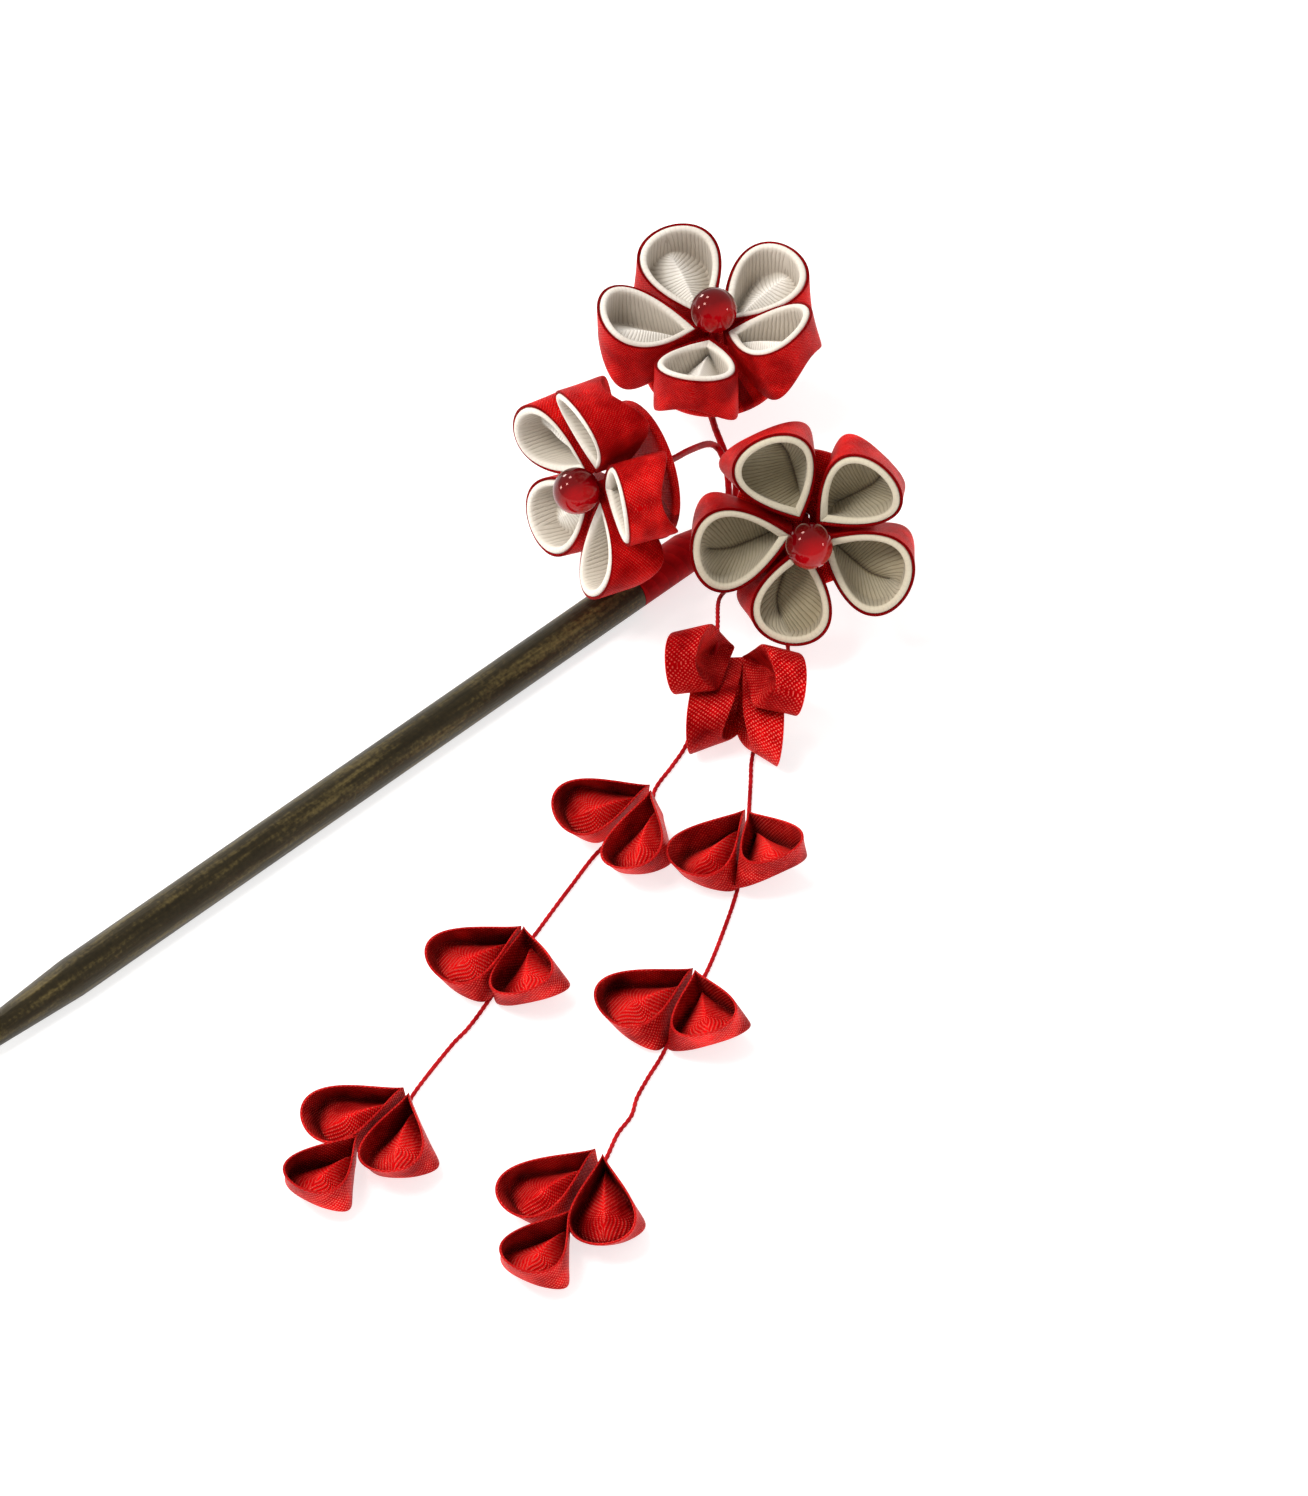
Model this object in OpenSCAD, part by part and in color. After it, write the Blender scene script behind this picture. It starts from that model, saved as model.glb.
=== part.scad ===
// Kanzashi hairpin: a wooden hair stick with three folded-ribbon flowers and two strings of petals.
// The stick lies along X with its tip towards -X, on the surface z = 0. All lengths are in mm.

/* [Hair stick] */
// Length of the wooden stick
stick_length = 170; // [140:1:220]
// Diameter of the stick
stick_diameter = 7; // [5:0.1:9]
// Length of the tapered end that goes into the hair
taper_length = 32; // [15:1:50]
// Diameter of the rounded tip
tip_diameter = 3.6; // [2.4:0.1:4.8]
// Diameter of the stick under the tape wrap
neck_diameter = 5.2; // [3.6:0.1:5.4]

/* [Tape wrap] */
// Length of the stick that the red tape covers
wrap_length = 11.5; // [8:0.5:25]
// Length of the cone of tape beyond the stick's end
wrap_cone = 6; // [4:0.5:7]
// Thickness of the tape over the end grain of the stick
wrap_end = 0.8; // [0.5:0.1:1.5]

/* [Wire stems] */
// Diameter of a stem, which is wire wrapped in red tape
stem_diameter = 1.2; // [0.9:0.1:1.6]
// Height at which the stems part
fork_height = 8.4; // [8:0.2:10]

/* [Glass beads] */
// Diameter of the round bead in each flower
bead_diameter = 8; // [6:0.1:9]
// Diameter of the hole through a bead
bead_bore = 1.5; // [1.2:0.1:2]

/* [Flower petals] */
// Length of a petal's rim, from its pinch to its round end
petal_length = 17; // [13:0.5:20]
// Width of a petal across its rim
petal_width = 14.4; // [11:0.2:14.8]
// How far the rim rises from the pinch to the round end
petal_rise = 5.4; // [3:0.2:8]
// Depth of the outer wall at its two bottom corners
petal_depth = 11; // [9:0.5:14]
// Distance from the flower's middle to the pinch of a petal
pinch_radius = 2.2; // [1.8:0.1:3]
// Thickness of the red satin layer
satin_wall = 1; // [0.8:0.1:1.3]
// Thickness of the white grosgrain layer
grosgrain_wall = 1.2; // [1:0.1:1.5]

/* [Flower backs] */
// Diameter of the round, cloth-covered back under a flower's petals
back_diameter = 24.4; // [20:0.5:27]
// Thickness of a back at its edge
back_edge = 1.3; // [1:0.1:1.8]
// How far a back bulges in its middle
back_bulge = 1.4; // [0.8:0.1:2]

/* [Falling petals] */
// Length of a falling petal's rim
drop_length = 17.5; // [13:0.5:18]
// Width of a falling petal across its rim
drop_width = 10.6; // [9:0.2:11.4]
// How far its rim rises from the pinch to the round end
drop_rise = 2.2; // [1:0.2:4]
// Depth of its outer wall at the bottom corner
drop_depth = 6.8; // [5:0.2:8]
// Thickness of its satin
drop_wall = 1; // [0.8:0.1:1.2]

/* [Threads] */
// Diameter of the thread of each falling string
thread_diameter = 0.8; // [0.6:0.1:1]

/* [Hidden] */
// The origin lies under the middle of the whole hairpin's box.
plan_shift = [60.76, 30.73];
fit_gap = 0.12;
layer_gap = 0.26;
bead_gap = 0.3;
stick_axis = stick_diameter / 2;
bundle_bore = 3.2;
// Heights on a flower's axis, from the pinch of its petals: the bead's middle, and where its back starts.
bead_height = 4;
back_top = -0.75 * petal_depth;
back_under = back_top - back_edge - back_bulge;
hole_room = 0.5;
back_bore = stem_diameter + 2 * hole_room;
back_rows = 5;
stem_lead = 1.5;
stem_steps = 3;
thread_steps = 2;
petals_round = 5;
petal_pitch = 360 / petals_round;
half_steps = 10;
loop_steps = 2 * half_steps;
stem_sides = 6;
thread_sides = 6;
// The rim is a teardrop, and its fullness says how slender it is near the pinch.
petal_fullness = 1;
drop_fullness = 1.6;
drops_a_string = 9;
// An inner skin lies this many wall thicknesses forward from the pinch and up from the outer one.
rim_forward = 1.6;
fold_forward = 0.6;
fold_lift = 1.4;
ridge_lift = 1.3;

// Places are measured from the middle of the stick's wrapped end, and heights from the surface.
// Each flower: the place of its middle.
flower_at = [[29, 24, 20], [-14.5, 6, 28], [7.5, -23, 23]];
// How far each bead sits from the middle of its flower's axis.
bead_shift = [[0.3, -0.1, 0.1], [0.2, -0.2, 0], [-0.3, -0.7, -0.6]];
// Columns: direction of the lean, lean from straight up, turn of the first petal.
flower_pose = [[90, 3, 342], [166, 82.5, 264], [-131, 58, 204.5]];
// No two hand-folded petals are alike. Columns: turn, lift and size of each petal, then how far the
// bottom corner of its left and of its right side stands out, as a share.
petal_habit = [
    [
        [0.5, 5, 1.03, 1, 1], [-0.3, -1.3, 1.01, 1, 1], [0.8, 8.5, 1.01, 1, 1], [-0.2, 2, 1, 1, 1],
        [-0.9, 3, 1.05, 1, 1]
    ],
    [
        [0.7, 4, 0.95, 1, 1], [0.2, -0.6, 1, 1, 1], [0.7, -4.5, 0.99, 1, 1], [0, 2, 0.98, 1, 1],
        [-1, 3, 0.96, 1, 1]
    ],
    [
        [-0.8, -5, 1.01, 1.3, 1], [0.2, 2.7, 0.99, 1, 1], [0.6, 0.2, 1.01, 1, 1], [-1, -2.6, 0.97, 1, 1.28],
        [0.8, -1.9, 1.04, 1, 1]
    ]
];

// Half of a flower petal, a row for each section from the pinch to the middle of its round end.
// Columns: fold along, fold aside and fold depth, then ridge along and ridge depth, all as shares.
petal_sections = [
    [0.000, 0.00, 0.55, 0.030, 0.48],
    [0.070, 0.13, 0.60, 0.100, 0.46],
    [0.160, 0.28, 0.66, 0.190, 0.44],
    [0.270, 0.46, 0.73, 0.290, 0.43],
    [0.400, 0.66, 0.81, 0.400, 0.43],
    [0.560, 0.87, 0.90, 0.510, 0.44],
    [0.780, 1.12, 1.00, 0.620, 0.46],
    [0.900, 0.86, 0.88, 0.720, 0.50],
    [0.950, 0.60, 0.76, 0.810, 0.54],
    [0.975, 0.30, 0.67, 0.880, 0.57],
    [0.980, 0.00, 0.62, 0.930, 0.60]
];
// Half of a falling petal, with the same columns.
drop_sections = [
    [0.000, 0.00, 0.96, 0.030, 0.80],
    [0.080, 0.15, 0.97, 0.100, 0.66],
    [0.170, 0.33, 0.98, 0.190, 0.55],
    [0.270, 0.55, 0.99, 0.290, 0.47],
    [0.380, 0.78, 1.00, 0.390, 0.42],
    [0.500, 1.05, 1.00, 0.490, 0.40],
    [0.640, 1.40, 1.00, 0.590, 0.42],
    [0.760, 1.05, 0.88, 0.680, 0.47],
    [0.840, 0.68, 0.77, 0.750, 0.52],
    [0.875, 0.33, 0.70, 0.800, 0.56],
    [0.885, 0.00, 0.67, 0.835, 0.60]
];
// Falling petals. Columns: place of the pinch x, y, z, then direction, pitch and roll, then how far
// the bottom corner of its left and of its right side stands out, as a share.
left_drops = [
    [-15.4, -20.9, 9.1, 213, 38, 105, 0.92, 0.8],
    [-16.7, -22.3, 9, 229, -12, 97, 0.8, 0.82],
    [-40.9, -36.7, 8, 159, -7, -15, 0.7, 1],
    [-41.9, -37.9, 8.5, 215, -8, 17, 0.72, 0.8],
    [-77.6, -44.4, 7.3, 171, -4, -6, 0.85, 1],
    [-76.2, -44.1, 6.3, 228, 4, 16, 0.95, 0.8],
    [-115.4, -57.4, 8.2, 159, -13, -4, 0.58, 1],
    [-114.7, -58.4, 7.5, 216, -6, 11, 0.95, 0.7],
    [-126.2, -58.8, 6.5, 193, 5, 0, 0.95, 0.95]
];
right_drops = [
    [-7.7, -32.45, 10.1, 236, 31, -103, 0.76, 0.9],
    [-7.9, -33.8, 9.9, 217, -20, -101, 0.76, 0.66],
    [-32.7, -50.9, 6.9, 190, -3, 0, 0.85, 0.62],
    [-31.7, -50.85, 6.25, 249, 14, 10, 0.75, 1.05],
    [-62.9, -69.9, 6.6, 172, -2, -6, 0.9, 1],
    [-61.7, -70.6, 6.35, 236, 7, 13, 0.95, 0.85],
    [-101.4, -88.1, 7.7, 173, -12, 0, 0.7, 1],
    [-100.4, -90.3, 8.6, 228, -14, 6, 0.92, 0.7],
    [-110.9, -94.2, 6.55, 196, 3, 0, 0.95, 0.95]
];

// Wire stems: each runs from inside the tape wrap to the back of its flower and up into the bead.
fork = [18.7, 10.9, fork_height];
top_route = [
    [2.2, 0.7, 3.9], [7, 0.75, 4.1], [12.7, 1.4, 4.2], [16.9, 5, 6], fork + [-0.3, -1.9, -0.9],
    fork + [1.2, 1.8, 0], [21.4, 15.4, 8], [23.9, 19, 7.4]
];
left_route = [
    [2.2, -0.7, 3.9], [7, -0.7, 4.1], [11.3, 0.9, 5.9], [15, 4.9, 8], [17.2, 8.6, 8.6],
    fork + [-1.2, -0.2, 0.8], [14.6, 10.1, 12.4], [8.1, 7.4, 18], [3.1, 5.3, 21.8]
];
right_route = [[2.2, 0, 2.7], [7, -0.3, 2.7], [12, -2.5, 4], [15.8, -8.4, 8.4], [16.8, -12.6, 12.2]];

// Threads: each lies on the surface between the petals and is drawn through their pinches.
left_thread_route = [
    [7.4, -1.9, 2.6], [4.5, -6, 3.4], [0, -12, 6.5], [-7.7, -17.6, 13],
    [-12.6, -22.6, 15.2], [-15.3, -25.4, 14.8], [-16, -25.4, 12.4], [-16.2, -24.2, 9.2],
    [-17.6, -24.6, 6.5], [-19.5, -25.9, 3.6], [-21.7, -27.1, 1.5], [-26.4, -29.8, 0.46],
    [-31.2, -31.6, 0.46], [-36.9, -33.5, 0.46],
    [-42.3, -37.4, 0.46], [-51.8, -36.9, 0.46], [-61.9, -39.7, 0.46], [-73, -43.3, 0.46],
    [-77.7, -44.7, 0.46], [-88.8, -48.8, 0.46], [-94.7, -50.7, 0.46], [-99.6, -51.7, 0.46],
    [-110.9, -55.1, 0.46], [-115.9, -58, 0.46], [-124, -58.2, 1]
];
right_thread_route = [
    [8.2, -2.4, 2], [8.5, -9, 1.2], [6, -18, 0.8], [1, -25.5, 0.5], [-5, -31.5, 0.46], [-10.5, -34, 0.46],
    [-15.3, -35.9, 0.46], [-20.4, -39.7, 0.46], [-24.3, -43.6, 0.46], [-32.6, -51.7, 0.46],
    [-41.1, -58.7, 0.46], [-49.9, -64.4, 0.46], [-57.9, -68.9, 0.46], [-63.1, -70.6, 0.46],
    [-73.6, -76.2, 0.46], [-79.7, -78.7, 0.46], [-83.9, -80.6, 0.46], [-87.2, -82.8, 0.46],
    [-91.4, -84.1, 0.46], [-95.6, -86.3, 0.46], [-101.7, -89.5, 0.46], [-108.6, -93.6, 1.1]
];

flower_names = ["top", "left", "right"];
string_names = ["left", "right"];
string_drops = [left_drops, right_drops];
thread_routes = [left_thread_route, right_thread_route];

// The teardrop's side, from 0 at the pinch to 1 at its widest and back to 0 at the round end.
function tear(a, fullness) = sin(a) * pow(abs(sin(a / 2)), fullness);
function tear_widest(fullness) = max([for (a = [90 : 2 : 140]) tear(a, fullness)]);

// A petal's own sizes, in the order that the skins use.
P_START = 0;
P_LENGTH = 1;
P_WIDTH = 2;
P_RISE = 3;
P_DEPTH = 4;
P_FULLNESS = 5;
P_LEFT = 6;
P_RIGHT = 7;
function flower_petal(habit) = let (size = habit[2]) [
    pinch_radius, petal_length * size, petal_width * size, petal_rise * size, petal_depth * size,
    petal_fullness, habit[3], habit[4]
];
function drop_petal(left_corner, right_corner) = [
    0, drop_length, drop_width, drop_rise, drop_depth,
    drop_fullness, left_corner, right_corner
];

// A point of a skin, moved in by the cloth that lies outside it: forward from the pinch, and lifted.
function drawn_in(p, x, y, z, inset, forward, lift) = [
    p[P_START] + forward * inset + x * (1 - (forward + 1) * inset / p[P_LENGTH]),
    y * (1 - 2 * inset / p[P_WIDTH]),
    z + lift * inset
];
// The three rows of a skin: its rim, its bottom fold and the ridge in its middle.
function rim_row(p, inset) = let (widest = tear_widest(p[P_FULLNESS])) [
    for (i = [0 : loop_steps - 1])
        let (a = i * 180 / half_steps, share = (1 - cos(a)) / 2)
        let (side = p[P_WIDTH] / 2 * tear(a, p[P_FULLNESS]) / widest)
        drawn_in(p, p[P_LENGTH] * share, side, p[P_RISE] * share, inset, rim_forward, 0)
];
function fold_row(p, sections, inset) = [
    for (i = [0 : loop_steps - 1])
        let (left = i <= half_steps, s = sections[left ? i : loop_steps - i])
        let (aside = (left ? p[P_LEFT] : -p[P_RIGHT]) * s[1] * p[P_WIDTH] / 2)
        let (down = p[P_RISE] * s[0] - p[P_DEPTH] * s[2])
        drawn_in(p, p[P_LENGTH] * s[0], aside, down, inset, fold_forward, fold_lift)
];
function ridge_row(p, sections, inset) = [
    for (s = sections)
        let (down = p[P_RISE] * s[3] - p[P_DEPTH] * s[4])
        drawn_in(p, p[P_LENGTH] * s[3], 0, down, inset, fold_forward, ridge_lift)
];

// A folded layer of cloth: an outer and an inner skin, each a cup with a ridge up its middle.
module folded_layer(p, sections, inset, wall) {
    points = concat(
        rim_row(p, inset), fold_row(p, sections, inset), ridge_row(p, sections, inset),
        rim_row(p, inset + wall), fold_row(p, sections, inset + wall), ridge_row(p, sections, inset + wall)
    );
    skin_points = 2 * loop_steps + half_steps + 1;
    outer = 0;
    inner = skin_points;
    function rim_at(base, i) = base + i % loop_steps;
    function fold_at(base, i) = base + loop_steps + i % loop_steps;
    function ridge_at(base, i) = base + 2 * loop_steps + min(i, loop_steps - i);
    function quad(a, b, c, d) = [[a, b, c], [a, c, d]];
    // The right side mirrors the left one, its quads too. Next to the pinch the folds split the other way,
    // so that the two sides don't share a triangle.
    function mirrored(i) = i >= half_steps;
    function at_pinch(i) = i == 0 || i == loop_steps - 1;
    function split(other_way, a, b, c, d) = other_way ? quad(b, c, d, a) : quad(a, b, c, d);
    function split_wall(i, a, b, c, d) = split(mirrored(i), a, b, c, d);
    function split_fold(i, a, b, c, d) = split(mirrored(i) != at_pinch(i), a, b, c, d);
    faces = [
        for (i = [0 : loop_steps - 1])
            let (n = i + 1)
            each concat(
                split_wall(i, rim_at(outer, i), rim_at(outer, n), fold_at(outer, n), fold_at(outer, i)),
                split_fold(i, fold_at(outer, i), fold_at(outer, n), ridge_at(outer, n), ridge_at(outer, i)),
                split_wall(i, fold_at(inner, n), rim_at(inner, n), rim_at(inner, i), fold_at(inner, i)),
                split_fold(i, ridge_at(inner, n), fold_at(inner, n), fold_at(inner, i), ridge_at(inner, i)),
                quad(rim_at(outer, i), rim_at(inner, i), rim_at(inner, n), rim_at(outer, n))
            )
    ];
    polyhedron(points, faces, convexity = 6);
}

// Places a flower, or one petal of it.
module at_flower(f) {
    translate(flower_at[f])
        rotate([0, flower_pose[f][1], flower_pose[f][0]])
            rotate([0, 0, flower_pose[f][2]])
                children();
}
module at_petal(f, k) {
    habit = petal_habit[f][k];
    at_flower(f)
        rotate([0, -habit[1], habit[0] - k * petal_pitch])
            children();
}
module at_drop(d) {
    translate([d[0], d[1], d[2]])
        rotate([0, 0, d[3]])
            rotate([0, -d[4], 0])
                rotate([d[5], 0, 0])
                    children();
}

module satin_petal(f, k) {
    color([0.72, 0.02, 0.04])
        at_petal(f, k)
            folded_layer(flower_petal(petal_habit[f][k]), petal_sections, 0, satin_wall);
}
module grosgrain_liner(f, k) {
    color([0.93, 0.9, 0.84])
        at_petal(f, k)
            folded_layer(
                flower_petal(petal_habit[f][k]), petal_sections, satin_wall + layer_gap, grosgrain_wall
            );
}
// A falling petal, pierced where its thread goes through the cloth.
module falling_petal(i, k) {
    d = string_drops[i][k];
    color([0.75, 0.02, 0.03])
        difference() {
            at_drop(d)
                folded_layer(drop_petal(d[6], d[7]), drop_sections, 0, drop_wall);
            strand(smooth(thread_routes[i], thread_steps), thread_diameter + 4 * fit_gap, thread_sides);
        }
}

// Draws it all with the origin under the middle of the hairpin.
module placed() {
    translate([plan_shift[0], plan_shift[1], 0])
        children();
}

module stick() {
    straight_length = stick_length - taper_length;
    color([0.16, 0.11, 0.07])
        along_stick()
            rotate_extrude($fn = 48)
                polygon(concat(
                    [
                        [0, 0], [neck_diameter / 2, 0], [neck_diameter / 2, wrap_length + fit_gap],
                        [stick_diameter / 2, wrap_length + fit_gap], [stick_diameter / 2, straight_length]
                    ],
                    [for (a = [0 : 15 : 90])
                        [tip_diameter / 2 * cos(a), stick_length - tip_diameter / 2 * (1 - sin(a))]]
                ));
}
// Turns a shape that runs up Z so that it runs along the stick, from the wrapped end to the tip.
module along_stick() {
    translate([0, 0, stick_axis])
        rotate([0, -90, 0])
            children();
}

module stem_wrap() {
    bore = neck_diameter / 2 + fit_gap;
    mouth = bundle_bore / 2;
    color([0.6, 0.03, 0.04])
        along_stick()
            rotate_extrude($fn = 48)
                polygon([
                    [bore, wrap_length], [bore, -fit_gap], [mouth, -fit_gap], [mouth, -wrap_cone],
                    [mouth + wrap_end, -wrap_cone], [stick_diameter / 2, -wrap_end],
                    [stick_diameter / 2, wrap_length]
                ]);
}

// A round strand through the points of a route, its sections carried along it without a twist.
function unit(v) = v / norm(v);
function heading(route, i) = unit(route[min(i + 1, len(route) - 1)] - route[max(i - 1, 0)]);
function square_to(v, along) = unit(v - along * (v * along));
function sides_of(route) = [
    for (
        i = 0, n = square_to([0.3, 0.2, 1], heading(route, 0));
        i < len(route);
        i = i + 1, n = i < len(route) ? square_to(n, heading(route, i)) : n
    ) n
];
module strand(route, diameter, sides) {
    normals = sides_of(route);
    last = len(route) - 1;
    points = [
        for (i = [0 : last], k = [0 : sides - 1])
            let (n = normals[i], b = cross(heading(route, i), n), a = k * 360 / sides)
            route[i] + diameter / 2 * (n * cos(a) + b * sin(a))
    ];
    function at(i, k) = i * sides + k % sides;
    faces = concat(
        [[for (k = [0 : sides - 1]) at(0, k)], [for (k = [sides - 1 : -1 : 0]) at(last, k)]],
        [for (i = [0 : last - 1], k = [0 : sides - 1]) [at(i, k), at(i + 1, k), at(i + 1, k + 1)]],
        [for (i = [0 : last - 1], k = [0 : sides - 1]) [at(i, k), at(i + 1, k + 1), at(i, k + 1)]]
    );
    polyhedron(points, faces, convexity = 8);
}
// A smooth route through a few chosen points, as many steps between each two.
function smooth(p, steps) = concat(
    [for (i = [0 : len(p) - 2], k = [0 : steps - 1])
        let (a = p[max(i - 1, 0)], b = p[i], c = p[i + 1], d = p[min(i + 2, len(p) - 1)], t = k / steps)
        b + (c - a) / 2 * t + (2 * a - 5 * b + 4 * c - d) / 2 * t * t
            + (3 * b - a - 3 * c + d) / 2 * t * t * t],
    [p[len(p) - 1]]
);

// The way a flower faces, and a point of its axis.
function facing(f) = let (az = flower_pose[f][0], lean = flower_pose[f][1])
    [sin(lean) * cos(az), sin(lean) * sin(az), cos(lean)];
function on_axis(f, height) = flower_at[f] + facing(f) * height;
function bead_place(f) = on_axis(f, bead_height) + bead_shift[f];
module wire_stem(f, route) {
    inside = concat(
        route,
        [for (h = [back_under - stem_lead, back_under, back_top]) on_axis(f, h)],
        [for (h = [back_top / 2, 0, bead_height]) on_axis(f, h) + bead_shift[f]]
    );
    color([0.55, 0.03, 0.05])
        strand(smooth(inside, stem_steps), stem_diameter, stem_sides);
}
// A round bead with a blind hole in its back for the stem.
module glass_bead(f) {
    color([0.35, 0.01, 0.03])
        translate(bead_place(f))
            rotate([0, flower_pose[f][1], flower_pose[f][0]])
                difference() {
                    sphere(d = bead_diameter, $fn = 64);
                    translate([0, 0, -bead_diameter])
                        cylinder(d = bead_bore, h = bead_diameter + bead_gap, $fn = 32);
                }
}
// The round backs that the flowers' petals sit on, one a flower, each with a hole for its stem.
module flower_backs() {
    bore = back_bore / 2;
    reach = back_diameter / 2 - bore;
    color([0.6, 0.02, 0.03])
        for (f = [0 : len(flower_names) - 1])
            at_flower(f)
                rotate_extrude($fn = 48)
                    polygon(concat(
                        [[bore, back_top], [bore + reach, back_top]],
                        [for (k = [0 : back_rows])
                            let (a = 90 * k / back_rows)
                            [bore + reach * cos(a), back_under + back_bulge * (1 - sin(a))]]
                    ));
}
module string_thread(route) {
    color([0.6, 0.02, 0.03])
        strand(smooth(route, thread_steps), thread_diameter, thread_sides);
}

placed() stick();
placed() stem_wrap();
placed() flower_backs();
placed() wire_stem(0, top_route);  // stem_top
placed() wire_stem(1, left_route);  // stem_left
placed() wire_stem(2, right_route);  // stem_right
for (f = [0 : len(flower_names) - 1]) {
    placed() glass_bead(f);
    for (k = [0 : petals_round - 1]) {
        placed() satin_petal(f, k);
        placed() grosgrain_liner(f, k);
    }
}
for (i = [0 : len(string_names) - 1]) {
    placed() string_thread(thread_routes[i]);
    for (k = [0 : drops_a_string - 1])
        placed() falling_petal(i, k);
}
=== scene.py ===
# %% [markdown]
# # A flower hairpin, dressed for the camera
# The real thing is a wooden hair stick with three flowers of folded ribbon and two strings of falling petals.
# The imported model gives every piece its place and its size. This notebook folds the ribbon again with more
# care, gives each surface its weave or grain, and sets up a plain studio.

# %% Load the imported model
import math

import bmesh
import bpy
from mathutils import Matrix, Vector


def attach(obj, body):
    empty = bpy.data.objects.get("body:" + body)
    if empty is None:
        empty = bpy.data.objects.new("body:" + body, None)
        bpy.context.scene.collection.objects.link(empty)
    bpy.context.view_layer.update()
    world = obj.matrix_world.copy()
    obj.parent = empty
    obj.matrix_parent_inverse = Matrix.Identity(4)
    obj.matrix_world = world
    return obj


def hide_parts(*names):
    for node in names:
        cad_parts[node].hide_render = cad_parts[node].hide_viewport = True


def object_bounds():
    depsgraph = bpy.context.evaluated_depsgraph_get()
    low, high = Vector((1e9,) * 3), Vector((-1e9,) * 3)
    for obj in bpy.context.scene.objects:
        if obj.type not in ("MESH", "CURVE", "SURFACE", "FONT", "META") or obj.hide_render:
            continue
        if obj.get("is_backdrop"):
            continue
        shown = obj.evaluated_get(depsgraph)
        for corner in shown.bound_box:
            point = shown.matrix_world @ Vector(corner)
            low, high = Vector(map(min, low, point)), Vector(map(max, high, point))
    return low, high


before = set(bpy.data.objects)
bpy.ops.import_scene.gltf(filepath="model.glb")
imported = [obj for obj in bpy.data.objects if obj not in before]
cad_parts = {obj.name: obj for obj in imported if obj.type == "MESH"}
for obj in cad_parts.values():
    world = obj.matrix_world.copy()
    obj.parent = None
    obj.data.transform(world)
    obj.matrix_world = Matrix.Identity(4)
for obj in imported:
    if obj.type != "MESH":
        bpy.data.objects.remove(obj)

cad_box = [list(corner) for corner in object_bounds()]
MM = 0.001
print(len(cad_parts), "nodes, box in mm:", [[round(v / MM, 1) for v in corner] for corner in cad_box])

# %% [markdown]
# ## The camera
# The photograph looks down on the hairpin at about fifty degrees, from the side that the strings hang to. A
# camera could stand close with a wide lens, but the nearest flower would swell. A long lens from far away
# keeps the stick as straight and even as it is in the photograph.

# %% Camera
look_at = Vector((25.68, -0.54, 8.0)) * MM
camera_azimuth, camera_elevation = math.radians(227.617), math.radians(50.0)
camera_distance, sight_limit = 2.5, 20.0
photo_width, focal_length_in_pixels = 1308, 14850
film_width = 36.0

towards_camera = Vector((math.cos(camera_azimuth) * math.cos(camera_elevation),
                         math.sin(camera_azimuth) * math.cos(camera_elevation), math.sin(camera_elevation)))
camera = bpy.data.objects.new("camera", bpy.data.cameras.new("camera"))
bpy.context.scene.collection.objects.link(camera)
camera.data.sensor_fit = "HORIZONTAL"
camera.data.sensor_width = film_width
camera.data.lens = film_width * (focal_length_in_pixels / photo_width)
camera.location = look_at + towards_camera * camera_distance
camera.rotation_euler = (-towards_camera).to_track_quat("-Z", "Y").to_euler()
camera.data.clip_end = sight_limit
bpy.context.scene.camera = camera
screen_right = camera.rotation_euler.to_matrix() @ Vector((1, 0, 0))
screen_up = camera.rotation_euler.to_matrix() @ Vector((0, 1, 0))
print("camera at", [round(v, 3) for v in camera.location], "lens", round(camera.data.lens, 1))

# %% [markdown]
# ## Folding a sheet
# Ribbon is a flat sheet until fingers fold it. A petal could be sculpted, or its faces listed one by one.
# Here every soft piece starts as a flat grid instead, as the ribbon does on the table: a rule moves each
# point of the grid to its place, and edges that meet are sewn. The grid's own map keeps the cloth's
# coordinates in millimetres, so the weave follows the folds, and a value named shade on each point is
# painted shade where little light gets in, and painted light where it is below zero.

# %% Fold a grid into a piece
# Points nearer to each other than this are one.
sewing_reach = 0.004


def folded_grid(name, columns, rows, place, weave_at, closed=True, levels=1, shade_at=None):
    """A grid of columns x rows cells, with each point moved to place(u, v), where u and v go from 0 to 1."""
    bm = bmesh.new()
    shade_layer = bm.verts.layers.float.new("shade")
    uv_layer = bm.loops.layers.uv.new("cloth")
    half_side = 0.5
    bmesh.ops.create_grid(bm, x_segments=columns, y_segments=rows, size=half_side)
    share = {v: (v.co.x + half_side, v.co.y + half_side) for v in bm.verts}
    for face in bm.faces:
        for loop in face.loops:
            loop[uv_layer].uv = weave_at(*share[loop.vert])
    for vert, (u, v) in share.items():
        vert.co = place(u, v) * MM
        vert[shade_layer] = shade_at(u, v) if shade_at else 0.0
    bmesh.ops.remove_doubles(bm, verts=bm.verts, dist=sewing_reach * MM)
    if not closed:
        loose = [e for e in bm.edges if e.is_boundary]
        bmesh.ops.holes_fill(bm, edges=loose, sides=0)
    bmesh.ops.recalc_face_normals(bm, faces=bm.faces)
    for face in bm.faces:
        face.smooth = True
    mesh = bpy.data.meshes.new(name)
    bm.to_mesh(mesh)
    bm.free()
    piece = bpy.data.objects.new(name, mesh)
    bpy.context.scene.collection.objects.link(piece)
    if levels:
        smooth = piece.modifiers.new("round the folds", "SUBSURF")
        smooth.levels = smooth.render_levels = levels
    return piece


def dress(piece, material, slot, *nodes):
    """The piece takes its material and stands for the nodes."""
    piece.data.materials.append(material)
    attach(piece, "root")
    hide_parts(*nodes)
    return piece


print("points within", sewing_reach, "mm of each other are sewn together")

# %% [markdown]
# ## The rim of a petal
# A petal is a square of ribbon folded into a loop. From the front its edge is a teardrop: pointed where the
# loop is pinched, and round at the far end. A curve with handles could draw it, but one formula does it with
# a single number for how full it is, and gives every petal the same count of steps round its loop.

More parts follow.
